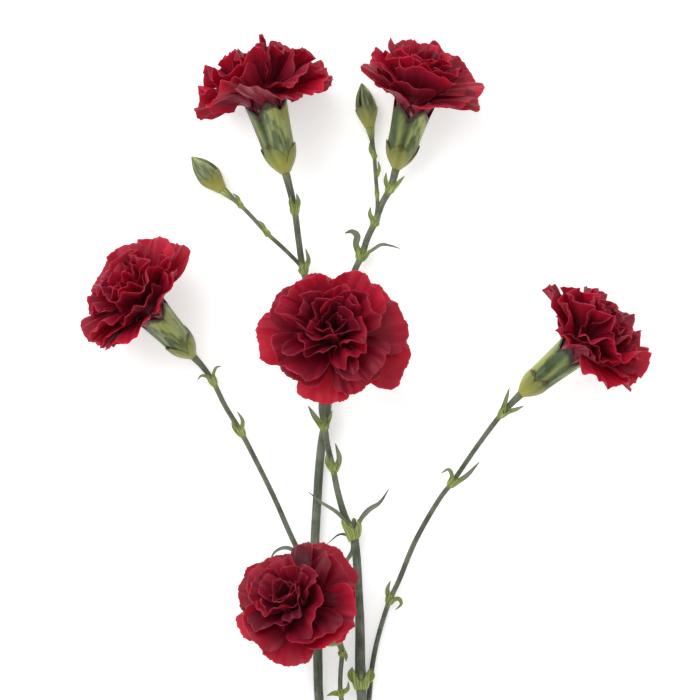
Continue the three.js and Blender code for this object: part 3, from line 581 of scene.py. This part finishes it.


# The bunched claws in the mouth of the cup: a low dome whose rings waver by a sine with eleven folds.
# It is painted dark red as shade in the throat.
def corePart(bloom):
    outline = np.array(coreMake["outline"])
    upward = coreMake["from"] + coreMake["height"] * np.sin(np.linspace(0, math.pi / 2, coreMake["rows"]))
    turned, height = np.meshgrid(roundAngles(coreMake["sides"]), upward)
    wave = 1 + coreMake["deep"] * np.sin(coreMake["folds"] * turned + height)
    radius = bloom["girth"] * np.interp(height, outline[:, 0], outline[:, 1]) * wave
    points = placed(roundPoint(radius, turned, height), bloom)
    return ringPart(points, triple(9 * turned, 17.0, height - 30), triple(0 * radius, 0, coreMake["tone"]))


for name, bloom in blooms.items():
    parts = [corePart(bloom)]
    for w, whorl in enumerate(whorls):
        for index in range(whorl["count"]):
            turn = bloom["turn"] + 360 * (index + 0.5 * (w % 2)) / whorl["count"]
            parts.append(petalPart(bloom, whorl, 10 * w + index, turn))
    for kind, petal, number in singlePetals:
        for index, turn in enumerate(bloom.get(kind, ())):
            parts.append(petalPart(bloom, petal, number + index, turn))
    addPiece("bloom_" + name, parts, petalRed, "petal_red", "petals_" + name)
print("blooms made")

cupMake = {"sides": 120, "rows": 44, "insideRows": 10, "height": 27.6, "tooth": 4.4, "wall": 0.45,
           "inside": 12.0, "seat": 0.3, "furrow": 0.16, "flare": 0.35, "flareFrom": 24, "grain": 6,
           "outline": [(0, 1.45), (1, 2.1), (2.4, 3.2), (4.4, 4.5), (6.8, 5.45), (10, 5.95), (15, 6.4),
                       (27.5, 7.9)]}
cupScales = {"angles": (0, 180, 72, 252), "height": 10.4, "halfAngle": 56, "stand": 0.5, "thickness": 0.3,
             "spotted": 1.0}
budMake = {"sides": 100, "rows": 60, "height": 17, "seat": 0.3, "furrow": 0.22, "seam": 0.09, "ridge": 0.16,
           "cleft": 0.13, "grain": 6,
           "outline": [(0, 1.75), (1.6, 2.4), (3.4, 3.25), (5.6, 4.2), (8.2, 4.6), (12.2, 3.55), (14.9, 1.95),
                       (17, 0.3)]}
budScales = {"angles": (0, 180, 72, 252), "height": 7.4, "halfAngle": 62, "stand": 0.2, "thickness": 0.26,
             "spotted": 0.75}
scaleMake = {"from": 0.4, "columns": 25, "rows": 22}


# The radius at a height: girth times a smooth outline of heights and radii.
def outlineRadius(outline, girth):
    fine = smoothCurve(outline, np.linspace(0, len(outline) - 1, 400))
    return lambda height: girth * np.interp(height, fine[:, 0], fine[:, 1])


# A short pointed scale pressed on the wall: its half angle shrinks from the base as a power of one minus a
# power of the height, and it stands off the wall a little more at its tip and in its middle.
def scalePart(carried, make, scales, radiusAt, which):
    rows, columns = scaleMake["rows"], scaleMake["columns"]
    across, share = np.meshgrid(np.linspace(-1, 1, columns), np.linspace(0, 1, rows))
    height = scaleMake["from"] + (scales["height"] * (1 + 0.05 * which) - scaleMake["from"]) * share
    halfAngle = math.radians(scales["halfAngle"]) * (1 - share ** 2.4) ** 0.8 + 0.02
    angle = math.radians(scales["angles"][which]) + halfAngle * across
    overOthers = 1 + 0.25 * (which < 2)
    stand = scales["stand"] * (0.45 + 0.55 * share ** 3) * overOthers - 0.12 * across ** 2
    surface = placed(roundPoint(radiusAt(height) + stand, angle, height + make["seat"]), carried)
    marks = triple(held(1 - height / 13), 0, scales["spotted"] * (0.25 + 0.75 * share ** 3))
    flow = roundPoint(make["grain"], angle, height)
    return sheetPart(surface, np.full(share.shape, scales["thickness"]), flow, marks, marks)


# A cup: rings of the outline's radius up to a mouth that falls from each tooth's tip to the clefts between,
# then down the inside of the wall to a floor. The teeth flare by the square of their height, and shallow
# furrows, the cube of the nearness to a cleft, run down from the clefts.
def cupParts(bloom):
    radiusAt = outlineRadius(cupMake["outline"], bloom["girth"])
    angle = roundAngles(cupMake["sides"])
    toothShare = np.abs((5 * angle / (2 * math.pi)) % 1 - 0.5) * 2
    mouth = cupMake["height"] - cupMake["tooth"] * (1 - toothShare ** 0.85)
    height = np.linspace(0, 1, cupMake["rows"])[:, None] * mouth
    furrow = cupMake["furrow"] * (1 - toothShare) ** 3 * held((height - 8) / 14)
    flare = cupMake["flare"] * held((height - cupMake["flareFrom"]) / 3.5) ** 2
    radius = radiusAt(height) - furrow + flare
    insideRows = np.linspace(1, 0, cupMake["insideRows"])[:, None]
    insideHeight = mouth - (1 - insideRows) * (mouth - cupMake["inside"])
    insideFlare = cupMake["flare"] * held((insideHeight - cupMake["flareFrom"]) / 3.5) ** 2
    insideRadius = radiusAt(insideHeight) + insideFlare - cupMake["wall"]
    heights = np.concatenate([height, insideHeight, insideHeight[-1:] * 0 + cupMake["inside"]])
    radii = np.concatenate([radius, insideRadius, insideRadius[-1:] * 0.5])
    points = placed(roundPoint(radii, angle, heights + cupMake["seat"]), bloom)
    # Darker towards the mouth and inside it: the teeth's own purplish brown with painted shade under the
    # petals.
    tooth = 0.8 * held((heights - mouth + 6) / 6) ** 1.5 + 0.3 * held((heights - 23) / 4)
    marks = triple(held(1 - heights / 11) ** 1.3, tooth, 0)
    wall = ringPart(points, roundPoint(cupMake["grain"], angle, heights), marks)
    return [wall] + [scalePart(bloom, cupMake, cupScales, radiusAt, which) for which in range(4)]


# A bud: rings of the outline's radius. Five seams, bell curves of the angle, run down where the closed teeth
# meet. A deeper cleft, a bell curve too, opens between raised lips, and it is painted dark as shade.
def budParts(bud):
    radiusAt = outlineRadius(budMake["outline"], bud["girth"])
    angle = roundAngles(budMake["sides"])
    toSeam = np.abs((5 * angle / (2 * math.pi) + 0.5) % 1 - 0.5) * 2 * math.pi / 5
    toCleft = np.abs((angle - math.radians(bud["cleftAt"]) + math.pi) % (2 * math.pi) - math.pi)
    heights = np.linspace(0, 1, budMake["rows"])[:, None] * budMake["height"]
    furrow = budMake["furrow"] * bell(toSeam, budMake["seam"]) * held((heights - 7) / 6)
    narrow = budMake["cleft"] * (1 - 0.3 * held((heights - 7) / 7))
    low, high = held((heights - 6) / 1.5), held((16 - heights) / 2)
    cleft = bud["cleft"] * bell(toCleft, narrow) * low * high
    ridge = budMake["ridge"] * bell(toCleft - 0.24, 0.1) * low * high
    plain = radiusAt(heights)
    radius = np.maximum(plain - furrow + ridge - 1.5 * cleft * np.minimum(plain / 3.5, 1), 0.05)
    points = placed(roundPoint(radius, angle, heights + budMake["seat"]), bud)
    # The cleft is painted dark as shade; the brown at the tip is the bud's own colour.
    marks = triple(held(1 - heights / 9), held((heights - 14) / 3) * 0.4 + 2 * cleft, 0)
    wall = ringPart(points, roundPoint(budMake["grain"], angle, heights), marks)
    return [wall] + [scalePart(bud, budMake, budScales, radiusAt, which) for which in range(4)]


for name, bloom in blooms.items():
    addPiece("cup_" + name, cupParts(bloom), calyxGreen, "calyx_green", "calyx_" + name)
for name, bud in buds.items():
    addPiece("closed_bud_" + name, budParts(bud), budGreen, "bud_green", "bud_" + name)
print("cups and buds made")

stemMake = {"step": 0.7, "sides": 20, "slimSides": 14, "slimRadius": 1.1, "sink": 0.7, "grain": 1.6,
            "cutRings": (0.55, 0.9, 0.97), "cutFresh": 0.8, "stubRows": 16}
sheathMake = {"sides": 36, "rows": 12, "insideRows": 8, "wall": 0.35, "near": 4.0, "reach": 1.7,
              "spread": 0.62, "dip": -0.25, "rises": (0.5, 1.7), "opens": (0.8, 1.3)}
leafMake = {"thickness": 0.42, "channel": 0.28, "rows": 26, "columns": 9, "foot": 2.6, "grownUp": 9}

# Each stem's route as x, y, z and radius, its swollen joints as point number and radius, and its leaves as
# width and points.
stems = {
    "stem_main": {
        "carries": blooms["centre"],
        "route": [
            (4.5, -192.5, 1.75, 1.9), (4.5, -172, 2.7, 1.9), (4.5, -156, 3, 1.8), (5, -144, 3.4, 1.75),
            (4.5, -132, 4.2, 1.75), (4, -122.5, 4.7, 1.9), (3.8, -115.8, 4.8, 1.9), (3.5, -97.5, 4.8, 1.75),
            (2, -72.5, 5.4, 1.5), (0.9, -67, 5.8, 1.5), (-1.2, -63.4, 6, 1.3), (-3.1, -58, 6.2, 1.2),
            (-4.7, -52, 6.5, 1.15), (-6.5, -43, 7, 1.1), (-8.5, -34.5, 7.6, 1.15), (-9.5, -27.5, 8, 1.2),
            (-10.5, -21.5, 8.3, 1.2), (-9.3, -14, 9, 1.25), (-7, -10.2, 10.4, 1.3)
        ],
        "joints": {1: 3.1, 3: 2.8, 5: 3.4, 9: 3.4, 13: 1.9, 15: 1.9},
        "leaves": [
            (2.6, [(3.4, -172, 3.4), (-1, -171, 5.4), (-9, -173.5, 6), (-17, -181, 4)]),
            (2.6, [(5.6, -172, 3.4), (11, -167, 5.5), (18, -163.5, 6), (26.5, -164, 4)]),
            (2.2, [(4, -145, 4), (-1.5, -146.5, 5.6), (-8, -150.5, 5.8), (-13, -158.5, 4)]),
            (2.4, [(2.6, -122.5, 5.4), (0.4, -120.4, 6.4), (0.8, -117.6, 7)]),
            (2.4, [(5.6, -122.5, 5.4), (7.8, -120.6, 6.2), (7.4, -117.8, 7)]),
            (1.3, [(1, -67, 7), (-3, -62, 8.3), (-5.5, -59.6, 8.6), (-10.5, -56.5, 8.6),
                   (-15.5, -52.5, 8.2)]),
            (1.8, [(1.8, -67, 7), (4.6, -61.8, 8.4), (7.2, -59, 8.8), (11, -56.5, 8.5), (14.4, -51.5, 7.2)]),
            (1.5, [(-6.4, -44.5, 7.6), (-8.4, -41.4, 8.2), (-8.4, -38, 8.3)]),
            (1.9, [(-6, -45, 7.6), (-4, -40.5, 8.6), (-5.4, -34.6, 8.8)]),
            (1.9, [(-9.6, -29, 8.6), (-12.8, -25, 9.4), (-15.5, -20.6, 9.2)]),
            (1.1, [(-9.2, -28.6, 8.2), (-7.6, -25.4, 8), (-6.6, -22.4, 7.8)]),
        ],
        "stub": {"from": (1.9, -68, 6.6), "to": (1.4, -62.2, 8.2), "radius": 0.82},
    },
    "stem_top_left": {
        "carries": blooms["top_left"],
        "route": [
            (4.5, -172, 2.8, 1.5), (1.2, -164.5, 4, 1.6), (-5.5, -153, 3.6, 1.7), (-10, -139.5, 3.2, 1.75),
            (-11.5, -129, 3, 1.75), (-12, -114.5, 2.9, 1.75), (-12.5, -86.5, 3, 1.75), (-13, -72.5, 3, 1.75),
            (-12, -52.5, 2.6, 1.6), (-10.5, -34.5, 2.6, 1.55), (-8.5, -23, 2.7, 1.5), (-8, -10.5, 3.2, 1.45),
            (-12, 5.5, 3.4, 1.3), (-15.5, 22.5, 4.2, 1.25), (-17.5, 30.5, 6, 1.25), (-19, 40.5, 10.5, 1.2),
            (-20.5, 52, 17, 1.2), (-22.4, 60.5, 20.8, 1.3)
        ],
        "joints": {6: 2.9, 11: 2.6, 14: 2.1, 16: 1.9},
        "leaves": [
            (1.4, [(-13.6, -85, 5.2), (-17.5, -78, 7.2), (-20.5, -74.4, 8.2), (-24.2, -73.2, 8.6),
                   (-28, -75, 8.4), (-29.8, -79, 7.6)]),
            (1.4, [(-12, -86, 4.4), (-5.5, -82.5, 6), (-1.5, -78.5, 4.4), (1, -74, 2.2), (0.2, -69.8, 2.2),
                   (-3.6, -68.4, 4), (-8.5, -72, 6)]),
            (1.5, [(-17, 30, 7), (-15.4, 33, 9), (-16.4, 37.6, 11.6)]),
            (1.4, [(-20.6, 51.4, 18.2), (-21.8, 54.4, 20.8), (-21.8, 56.8, 22.6)]),
            (1.6, [(-20, 51.4, 18.2), (-19, 54.4, 21), (-19.6, 57.4, 23.2)]),
            (1.5, [(-8, -11.4, 4.2), (-5.4, -6.6, 5.4), (-3.8, -2.6, 5.6)]),
        ],
    },
    "stem_top_right": {
        "carries": blooms["top_right"],
        "route": [
            (-8, -10.5, 3.2, 1.2), (-4.6, 7.5, 3.6, 1.2), (0.5, 26.5, 4.4, 1.2), (4.5, 35.5, 5.2, 1.25),
            (6.5, 41.5, 6, 1.2), (9.5, 48, 7, 1.2), (12, 54.5, 7.6, 1.15), (15, 60, 8, 1.2)
        ],
        "joints": {3: 2.3, 5: 1.9, 7: 1.8},
        "leaves": [
            (2.3, [(4, 35, 6.2), (2.2, 39, 8), (2.6, 42.4, 9), (0.6, 43.9, 9), (-2, 43.2, 8.4)]),
            (1.1, [(5, 35, 6), (8.5, 37.2, 7.6), (11.5, 39, 8.2), (14.5, 38.8, 8), (18.6, 37.6, 6.6)]),
            (1.3, [(14.6, 59.4, 9.2), (13.2, 62.6, 10.2), (13.4, 65.6, 11)]),
            (1.3, [(15.4, 59.4, 9.2), (17.6, 61.6, 10.2), (20.2, 64.4, 10.8)]),
            (1.2, [(9, 47.4, 8), (7.4, 50.2, 8.6), (7.6, 53, 9)]),
        ],
    },
    "stem_left": {
        "carries": blooms["left"],
        "route": [
            (-12.5, -86.5, 3, 0.9), (-16, -80, 4, 0.95), (-20, -73, 4.2, 0.95), (-29.5, -52, 4.2, 0.95),
            (-40.5, -30.5, 4.2, 0.95), (-46.5, -20.5, 4.2, 0.9), (-51, -11.5, 4.5, 0.95),
            (-54.4, -6.6, 4.9, 1.1)
        ],
        "joints": {4: 1.7, 6: 1.7},
        "leaves": [
            (1.3, [(-40.6, -31.5, 4.8), (-43, -28.6, 6), (-43.8, -25.6, 6.6)]),
            (1.2, [(-40.6, -30.5, 5.2), (-39.8, -26.4, 6.4), (-41.8, -22.8, 6.8)]),
            (0.9, [(-51, -11.8, 5.2), (-53.2, -9.8, 6.2), (-55.2, -9.6, 6.4), (-56.6, -11.2, 6)]),
            (0.9, [(-50.8, -11.4, 5.2), (-50.4, -8, 6.6), (-49.4, -6.4, 7), (-47.8, -6, 6.8)]),
        ],
    },
    "stem_right": {
        "carries": blooms["right"],
        "route": [
            (5, -144, 3.4, 0.9), (7, -130, 1.6, 0.95), (8.2, -118, 1.7, 0.95), (10, -108.5, 2, 0.95),
            (13.5, -96.5, 2.5, 0.95), (15, -92.5, 2.8, 0.95), (18, -86, 3.2, 0.95), (24.5, -70.5, 4, 0.95),
            (33.4, -55, 5.3, 0.95), (38, -49, 6, 0.95), (47.5, -35, 9.6, 0.9), (56.5, -23, 13.8, 1)
        ],
        "joints": {5: 1.9, 9: 1.9, 11: 1.8},
        "leaves": [
            (1.4, [(14.8, -93, 3.8), (13.9, -89, 5.4), (15, -85.6, 6)]),
            (1.2, [(15.4, -93, 3.6), (18.2, -92.4, 5), (19, -94.2, 5), (16.8, -96.6, 4.4)]),
            (1.3, [(37.4, -49.8, 7), (37.6, -45.8, 8.8), (36.4, -44.2, 9.4), (33.8, -45.6, 9)]),
            (1.6, [(38.4, -49.6, 7), (43, -46.6, 9.5), (47.8, -41.4, 12)]),
            (1.4, [(56, -23, 14.6), (57.4, -18.4, 17), (58.6, -14, 18.4)]),
            (1.3, [(57, -23, 14.4), (60.8, -22, 16), (64, -20.6, 17.2)]),
        ],
    },
    "stem_lower": {
        "carries": blooms["lower"],
        "route": [
            (5, -144, 3.4, 0.85), (0.6, -138, 4.8, 0.85), (-2.5, -132, 5.2, 0.85), (-3.5, -127, 5.4, 0.85),
            (-3.5, -119.5, 5.8, 0.85), (-3, -111.6, 6.4, 0.95)
        ],
        "joints": {3: 1.5, 5: 1.7},
        "leaves": [
            (1.3, [(-3.8, -127.4, 6), (-6, -127.2, 7.4), (-8.6, -128.2, 7)]),
            (1.2, [(-3.2, -127.2, 6), (-0.9, -125.6, 7.4), (-0.6, -122.8, 8.6)]),
            (1.0, [(-3, -111.4, 7.4), (-1.6, -113.2, 8), (-1.4, -115.4, 7.6)]),
        ],
    },
    "stalk_bud_left": {
        "carries": buds["left"],
        "route": [
            (-17.5, 30.5, 6, 0.75), (-20.5, 33.6, 6.4, 0.75), (-25, 38, 6.3, 0.75), (-31, 43.5, 6, 0.75),
            (-36.5, 49.5, 5.7, 0.75), (-41, 54, 5.4, 0.75)
        ],
        "joints": {3: 1.4, 5: 1.3},
        "leaves": [
            (1.1, [(-31, 43, 6.6), (-32.4, 46.4, 7.6), (-34.6, 48.2, 7.4)]),
            (1.0, [(-41, 53.4, 6), (-41.6, 56.4, 7), (-43.4, 58, 7)]),
        ],
    },
    "stalk_bud_right": {
        "carries": buds["right"],
        "route": [
            (9.5, 48, 7, 0.7), (10.1, 53, 8, 0.7), (10, 58, 7, 0.7), (9.5, 65, 6.2, 0.7), (9, 72.5, 5.5, 0.7),
            (8.2, 77.6, 5, 0.75)
        ],
        "joints": {2: 1.3, 4: 1.3},
        "leaves": [
            (1.0, [(9.6, 64, 6.6), (10.8, 67, 7.4), (10.4, 70, 7.4)]),
            (1.0, [(9, 72, 6.2), (7.6, 74.4, 6.8), (7.4, 77, 6.8)]),
        ],
    },
}


# The two directions across a path: level to its side, and over it.
def crossDirections(path):
    along = np.gradient(path, axis=0)
    along /= np.linalg.norm(along, axis=1, keepdims=True)
    side = np.cross([0.0, 0.0, 1.0], along)
    side /= np.linalg.norm(side, axis=1, keepdims=True)
    return side, np.cross(along, side)


def roundPath(angle, side, over):  # the direction at each angle round a path
    return np.cos(angle)[..., None] * side + np.sin(angle)[..., None] * over


# The sheath that the feet of two leaves form round a joint: a thin cup whose foot is as wide as the stem. Its
# mouth rises and opens towards each leaf as a bell curve of the angle between them, and dips between the
# leaves.
def sheathPart(line, size, leaves):
    past, path, side, over, stemRadius = line
    angle = roundAngles(sheathMake["sides"])
    middle = pointsAt(0, past, path)
    along = np.cross(side, over)
    lowestRise, highestRise = [share * size for share in sheathMake["rises"]]
    narrowest, widest = [share * size for share in sheathMake["opens"]]
    top = np.full_like(angle, sheathMake["dip"] * size)
    mouth = np.full_like(angle, 1.25 * stemRadius)
    for stops in leaves:
        leaf = smoothCurve(stops, np.linspace(0, len(stops) - 1, 60)) - middle
        met = pointsAt(sheathMake["reach"] * size, walkedAlong(leaf), leaf)
        sideways, upward, onward = met @ side, met @ over, met @ along
        apart = (angle - math.atan2(upward, sideways) + math.pi) % (2 * math.pi) - math.pi
        near = bell(apart, sheathMake["spread"])
        rise = min(max(onward, lowestRise), highestRise)
        wide = min(max(math.hypot(sideways, upward), narrowest), widest)
        top = np.maximum(top, top + (rise - top) * near)
        mouth = np.maximum(mouth, mouth + (wide - mouth) * near)
    rows, insideRows = sheathMake["rows"], sheathMake["insideRows"]
    share = np.concatenate([np.linspace(0, 1, rows), np.linspace(1, 0.2, insideRows)])[:, None]
    wall = np.where(np.arange(rows + insideRows) < rows, 0, sheathMake["wall"])[:, None]
    height = -size + (top + size) * share
    radius = 1.03 * stemRadius + (mouth - stemRadius) * np.sin(math.pi / 2 * share) ** 0.9 - wall
    points = pointsAt(height, past, path) + radius[..., None] * roundPath(angle, side, over)
    marks = triple(1 - 0.35 * share, 0 * height, 0.5 * share)
    return ringPart(points, roundPoint(size, angle, height), marks)


# A stem: rings round a smooth path at even steps, sunk a little into what it carries. The radius runs from
# point to point, swells as a bell curve at each joint and under the bloom or bud, and wavers by two slow
# sines. Its first end closes over a rounded cut. A joint with leaves near it gets a sheath.
def stemParts(stem):
    carried = stem["carries"]
    isBud = carried in buds.values()
    end = np.array(carried["base"]) + stemMake["sink"] * np.array(carried["axis"])
    route = stem["route"] + [(*end, 0.95 if isBud else 1.4)]
    where = np.linspace(0, len(route) - 1, 40 * len(route))
    path = smoothCurve([stop[:3] for stop in route], where)
    length = walkedAlong(path)
    even = np.linspace(0, length[-1], int(length[-1] / stemMake["step"]))
    path = pointsAt(even, length, path)
    radii = [stop[3] for stop in route]
    radius = np.interp(np.interp(even, length, where), np.arange(len(route)), radii)
    joint = np.zeros_like(radius)
    for number, jointRadius in stem["joints"].items():
        past = even - np.interp(number, where, length)
        radius = radius + 0.4 * (jointRadius - radius) * bell(past, 0.7 * jointRadius)
        joint = np.maximum(joint, np.where(past > 0, 0.6 * bell(past, 4), bell(past, 3)))
    toEnd = length[-1] - even
    radius = radius + (0.75 if isBud else 0.1) * bell(toEnd, 4)
    joint = np.maximum(joint, (1 if isBud else 0.4) * bell(toEnd, 5))
    angle = roundAngles(stemMake["slimSides" if min(radii) < stemMake["slimRadius"] else "sides"])
    side, over = crossDirections(path)
    turned, walked = np.meshgrid(angle, even)
    wobble = 1 + 0.03 * np.sin(2 * turned + 0.11 * walked) + 0.02 * np.sin(3 * turned - 0.23 * walked)
    size = radius[:, None] * wobble
    points = path[:, None] + size[..., None] * roundPath(turned, side[:, None], over[:, None])
    flow = roundPoint(stemMake["grain"], turned, walked)
    cut = np.array(stemMake["cutRings"])[:, None, None]
    cutMarks = triple(np.full((len(cut), len(angle)), stemMake["cutFresh"]), 0, 0)
    points = np.concatenate([path[0] + (points[0] - path[0]) * cut, points])
    marks = np.concatenate([cutMarks, triple(joint[:, None], 0 * size, 0)])
    parts = [ringPart(points, np.concatenate([flow[:1] * cut, flow]), marks)]
    for number, jointRadius in stem["joints"].items():
        start = np.interp(number, where, length)
        nearest = int(np.argmin(np.abs(even - start)))
        leaves = [stops for width, stops in stem["leaves"]
                  if math.dist(stops[0], path[nearest]) < sheathMake["near"]]
        if leaves:
            line = [even - start, path, side[nearest], over[nearest], radius[nearest]]
            parts.append(sheathPart(line, jointRadius, leaves))
    return parts


# A leaf: across a smooth path the blade is as wide as a sine that rises fast and ends in a point, and its
# foot widens as a bell curve to wrap the stem. It is a channel, as deep as the square of the place across it.
# Small leaves are marked as young.
def leafPart(width, stops):
    path = smoothCurve(stops, np.linspace(0, len(stops) - 1, leafMake["rows"]))
    side, over = crossDirections(path)
    share = np.linspace(0, 1, leafMake["rows"])[:, None]
    across = np.linspace(-1, 1, leafMake["columns"])[None, :]
    reach = walkedAlong(path)[:, None]
    foot = bell(reach, leafMake["foot"])
    halfWidth = width / 2 * (np.sin(math.pi * (0.12 + 0.87 * share)) + 0.9 * foot) + 0.06
    deep = np.sin(math.pi * (0.25 + 0.7 * share)) + foot
    lift = leafMake["channel"] * width * (across ** 2 - 0.4) * deep
    sideways = halfWidth * across
    surface = path[:, None] + side[:, None] * sideways[..., None] + over[:, None] * lift[..., None]
    thickness = leafMake["thickness"] * (1 - 0.6 * share) * (1 - 0.7 * across ** 2)
    young = held(1.7 - reach[-1] / leafMake["grownUp"])
    marks = triple(bell(reach, 5) + 0 * across, share, young)
    return sheetPart(surface, thickness, triple(sideways, 9.0, reach), marks, marks)


# The dry stub of a shoot: straight rings that close over its end by the root of one minus a high power.
def stubPart(stub):
    share = np.linspace(0, 1, stemMake["stubRows"])[:, None]
    path = np.array(stub["from"]) + share * np.subtract(stub["to"], stub["from"])
    side, over = crossDirections(path)
    angle = roundAngles(stemMake["slimSides"])
    size = stub["radius"] * np.sqrt(1 - 0.98 * share ** 12) + 0 * angle
    points = path[:, None] + size[..., None] * roundPath(angle, side[:, None], over[:, None])
    return ringPart(points, roundPoint(size, angle, 6 * share), triple(0 * size, 0.9, 0))


for name, stem in stems.items():
    parts = stemParts(stem) + [leafPart(width, stops) for width, stops in stem["leaves"]]
    if "stub" in stem:
        parts.append(stubPart(stem["stub"]))
    addPiece("green_" + name, parts, stemGreen, "stem_green", name)
print("stems made")

# Places and sizes are in metres, the sensor in millimetres and the key light in watts. The picture is as
# wide as frameWidth at the height of the blooms.
studio = {"floorHalf": 6.0, "floorDrop": 0.0001, "floorShade": 0.9, "floorGlow": 0.34, "world": 0.85,
          "keyPower": 20.0, "keySize": 1.5, "keyPlace": (-0.75, 0.8, 1.3),
          "viewHeight": 1.5, "frameWidth": 0.259, "bloomHeight": 0.01, "sensor": 36}

half, shade = studio["floorHalf"], studio["floorShade"]
floorMesh = bpy.data.meshes.new("floor")
floorCorners = [(-half, -half, 0), (half, -half, 0), (half, half, 0), (-half, half, 0)]
floorMesh.from_pydata(floorCorners, [], [(0, 1, 2, 3)])
floor = newObject("floor", floorMesh)
floor.location.z = -studio["floorDrop"]
floorMaterial, _, floorShader = newMaterial("pale floor", Roughness=0.7)
floorShader.inputs["Base Color"].default_value = (shade, shade, shade, 1)
floorShader.inputs["Emission Color"].default_value = (1, 1, 1, 1)
floorShader.inputs["Emission Strength"].default_value = studio["floorGlow"]
floorMesh.materials.append(floorMaterial)

world = bpy.data.worlds.new("studio")
world.use_nodes = True
sky = world.node_tree.nodes["Background"]
sky.inputs["Color"].default_value = (1, 1, 1, 1)
sky.inputs["Strength"].default_value = studio["world"]
bpy.context.scene.world = world

keyLight = bpy.data.lights.new("key", "AREA")
keyLight.energy = studio["keyPower"]
keyLight.size = studio["keySize"]
key = newObject("key", keyLight)
key.location = studio["keyPlace"]
toSpray = -np.array(studio["keyPlace"])
tilt = math.acos(-toSpray[2] / np.linalg.norm(toSpray))
key.rotation_euler = (tilt, 0, math.atan2(toSpray[1], toSpray[0]) - math.pi / 2)

cameraData = bpy.data.cameras.new("camera")
cameraData.sensor_width = studio["sensor"]
cameraData.lens = studio["sensor"] * (studio["viewHeight"] - studio["bloomHeight"]) / studio["frameWidth"]
cameraData.clip_end = 50
camera = newObject("camera", cameraData)
camera.location = (-spray["middle"][0] * spray["toMetres"], -spray["middle"][1] * spray["toMetres"],
                   studio["viewHeight"])
bpy.context.scene.camera = camera
bpy.context.scene.view_settings.view_transform = "Standard"
print("studio made")
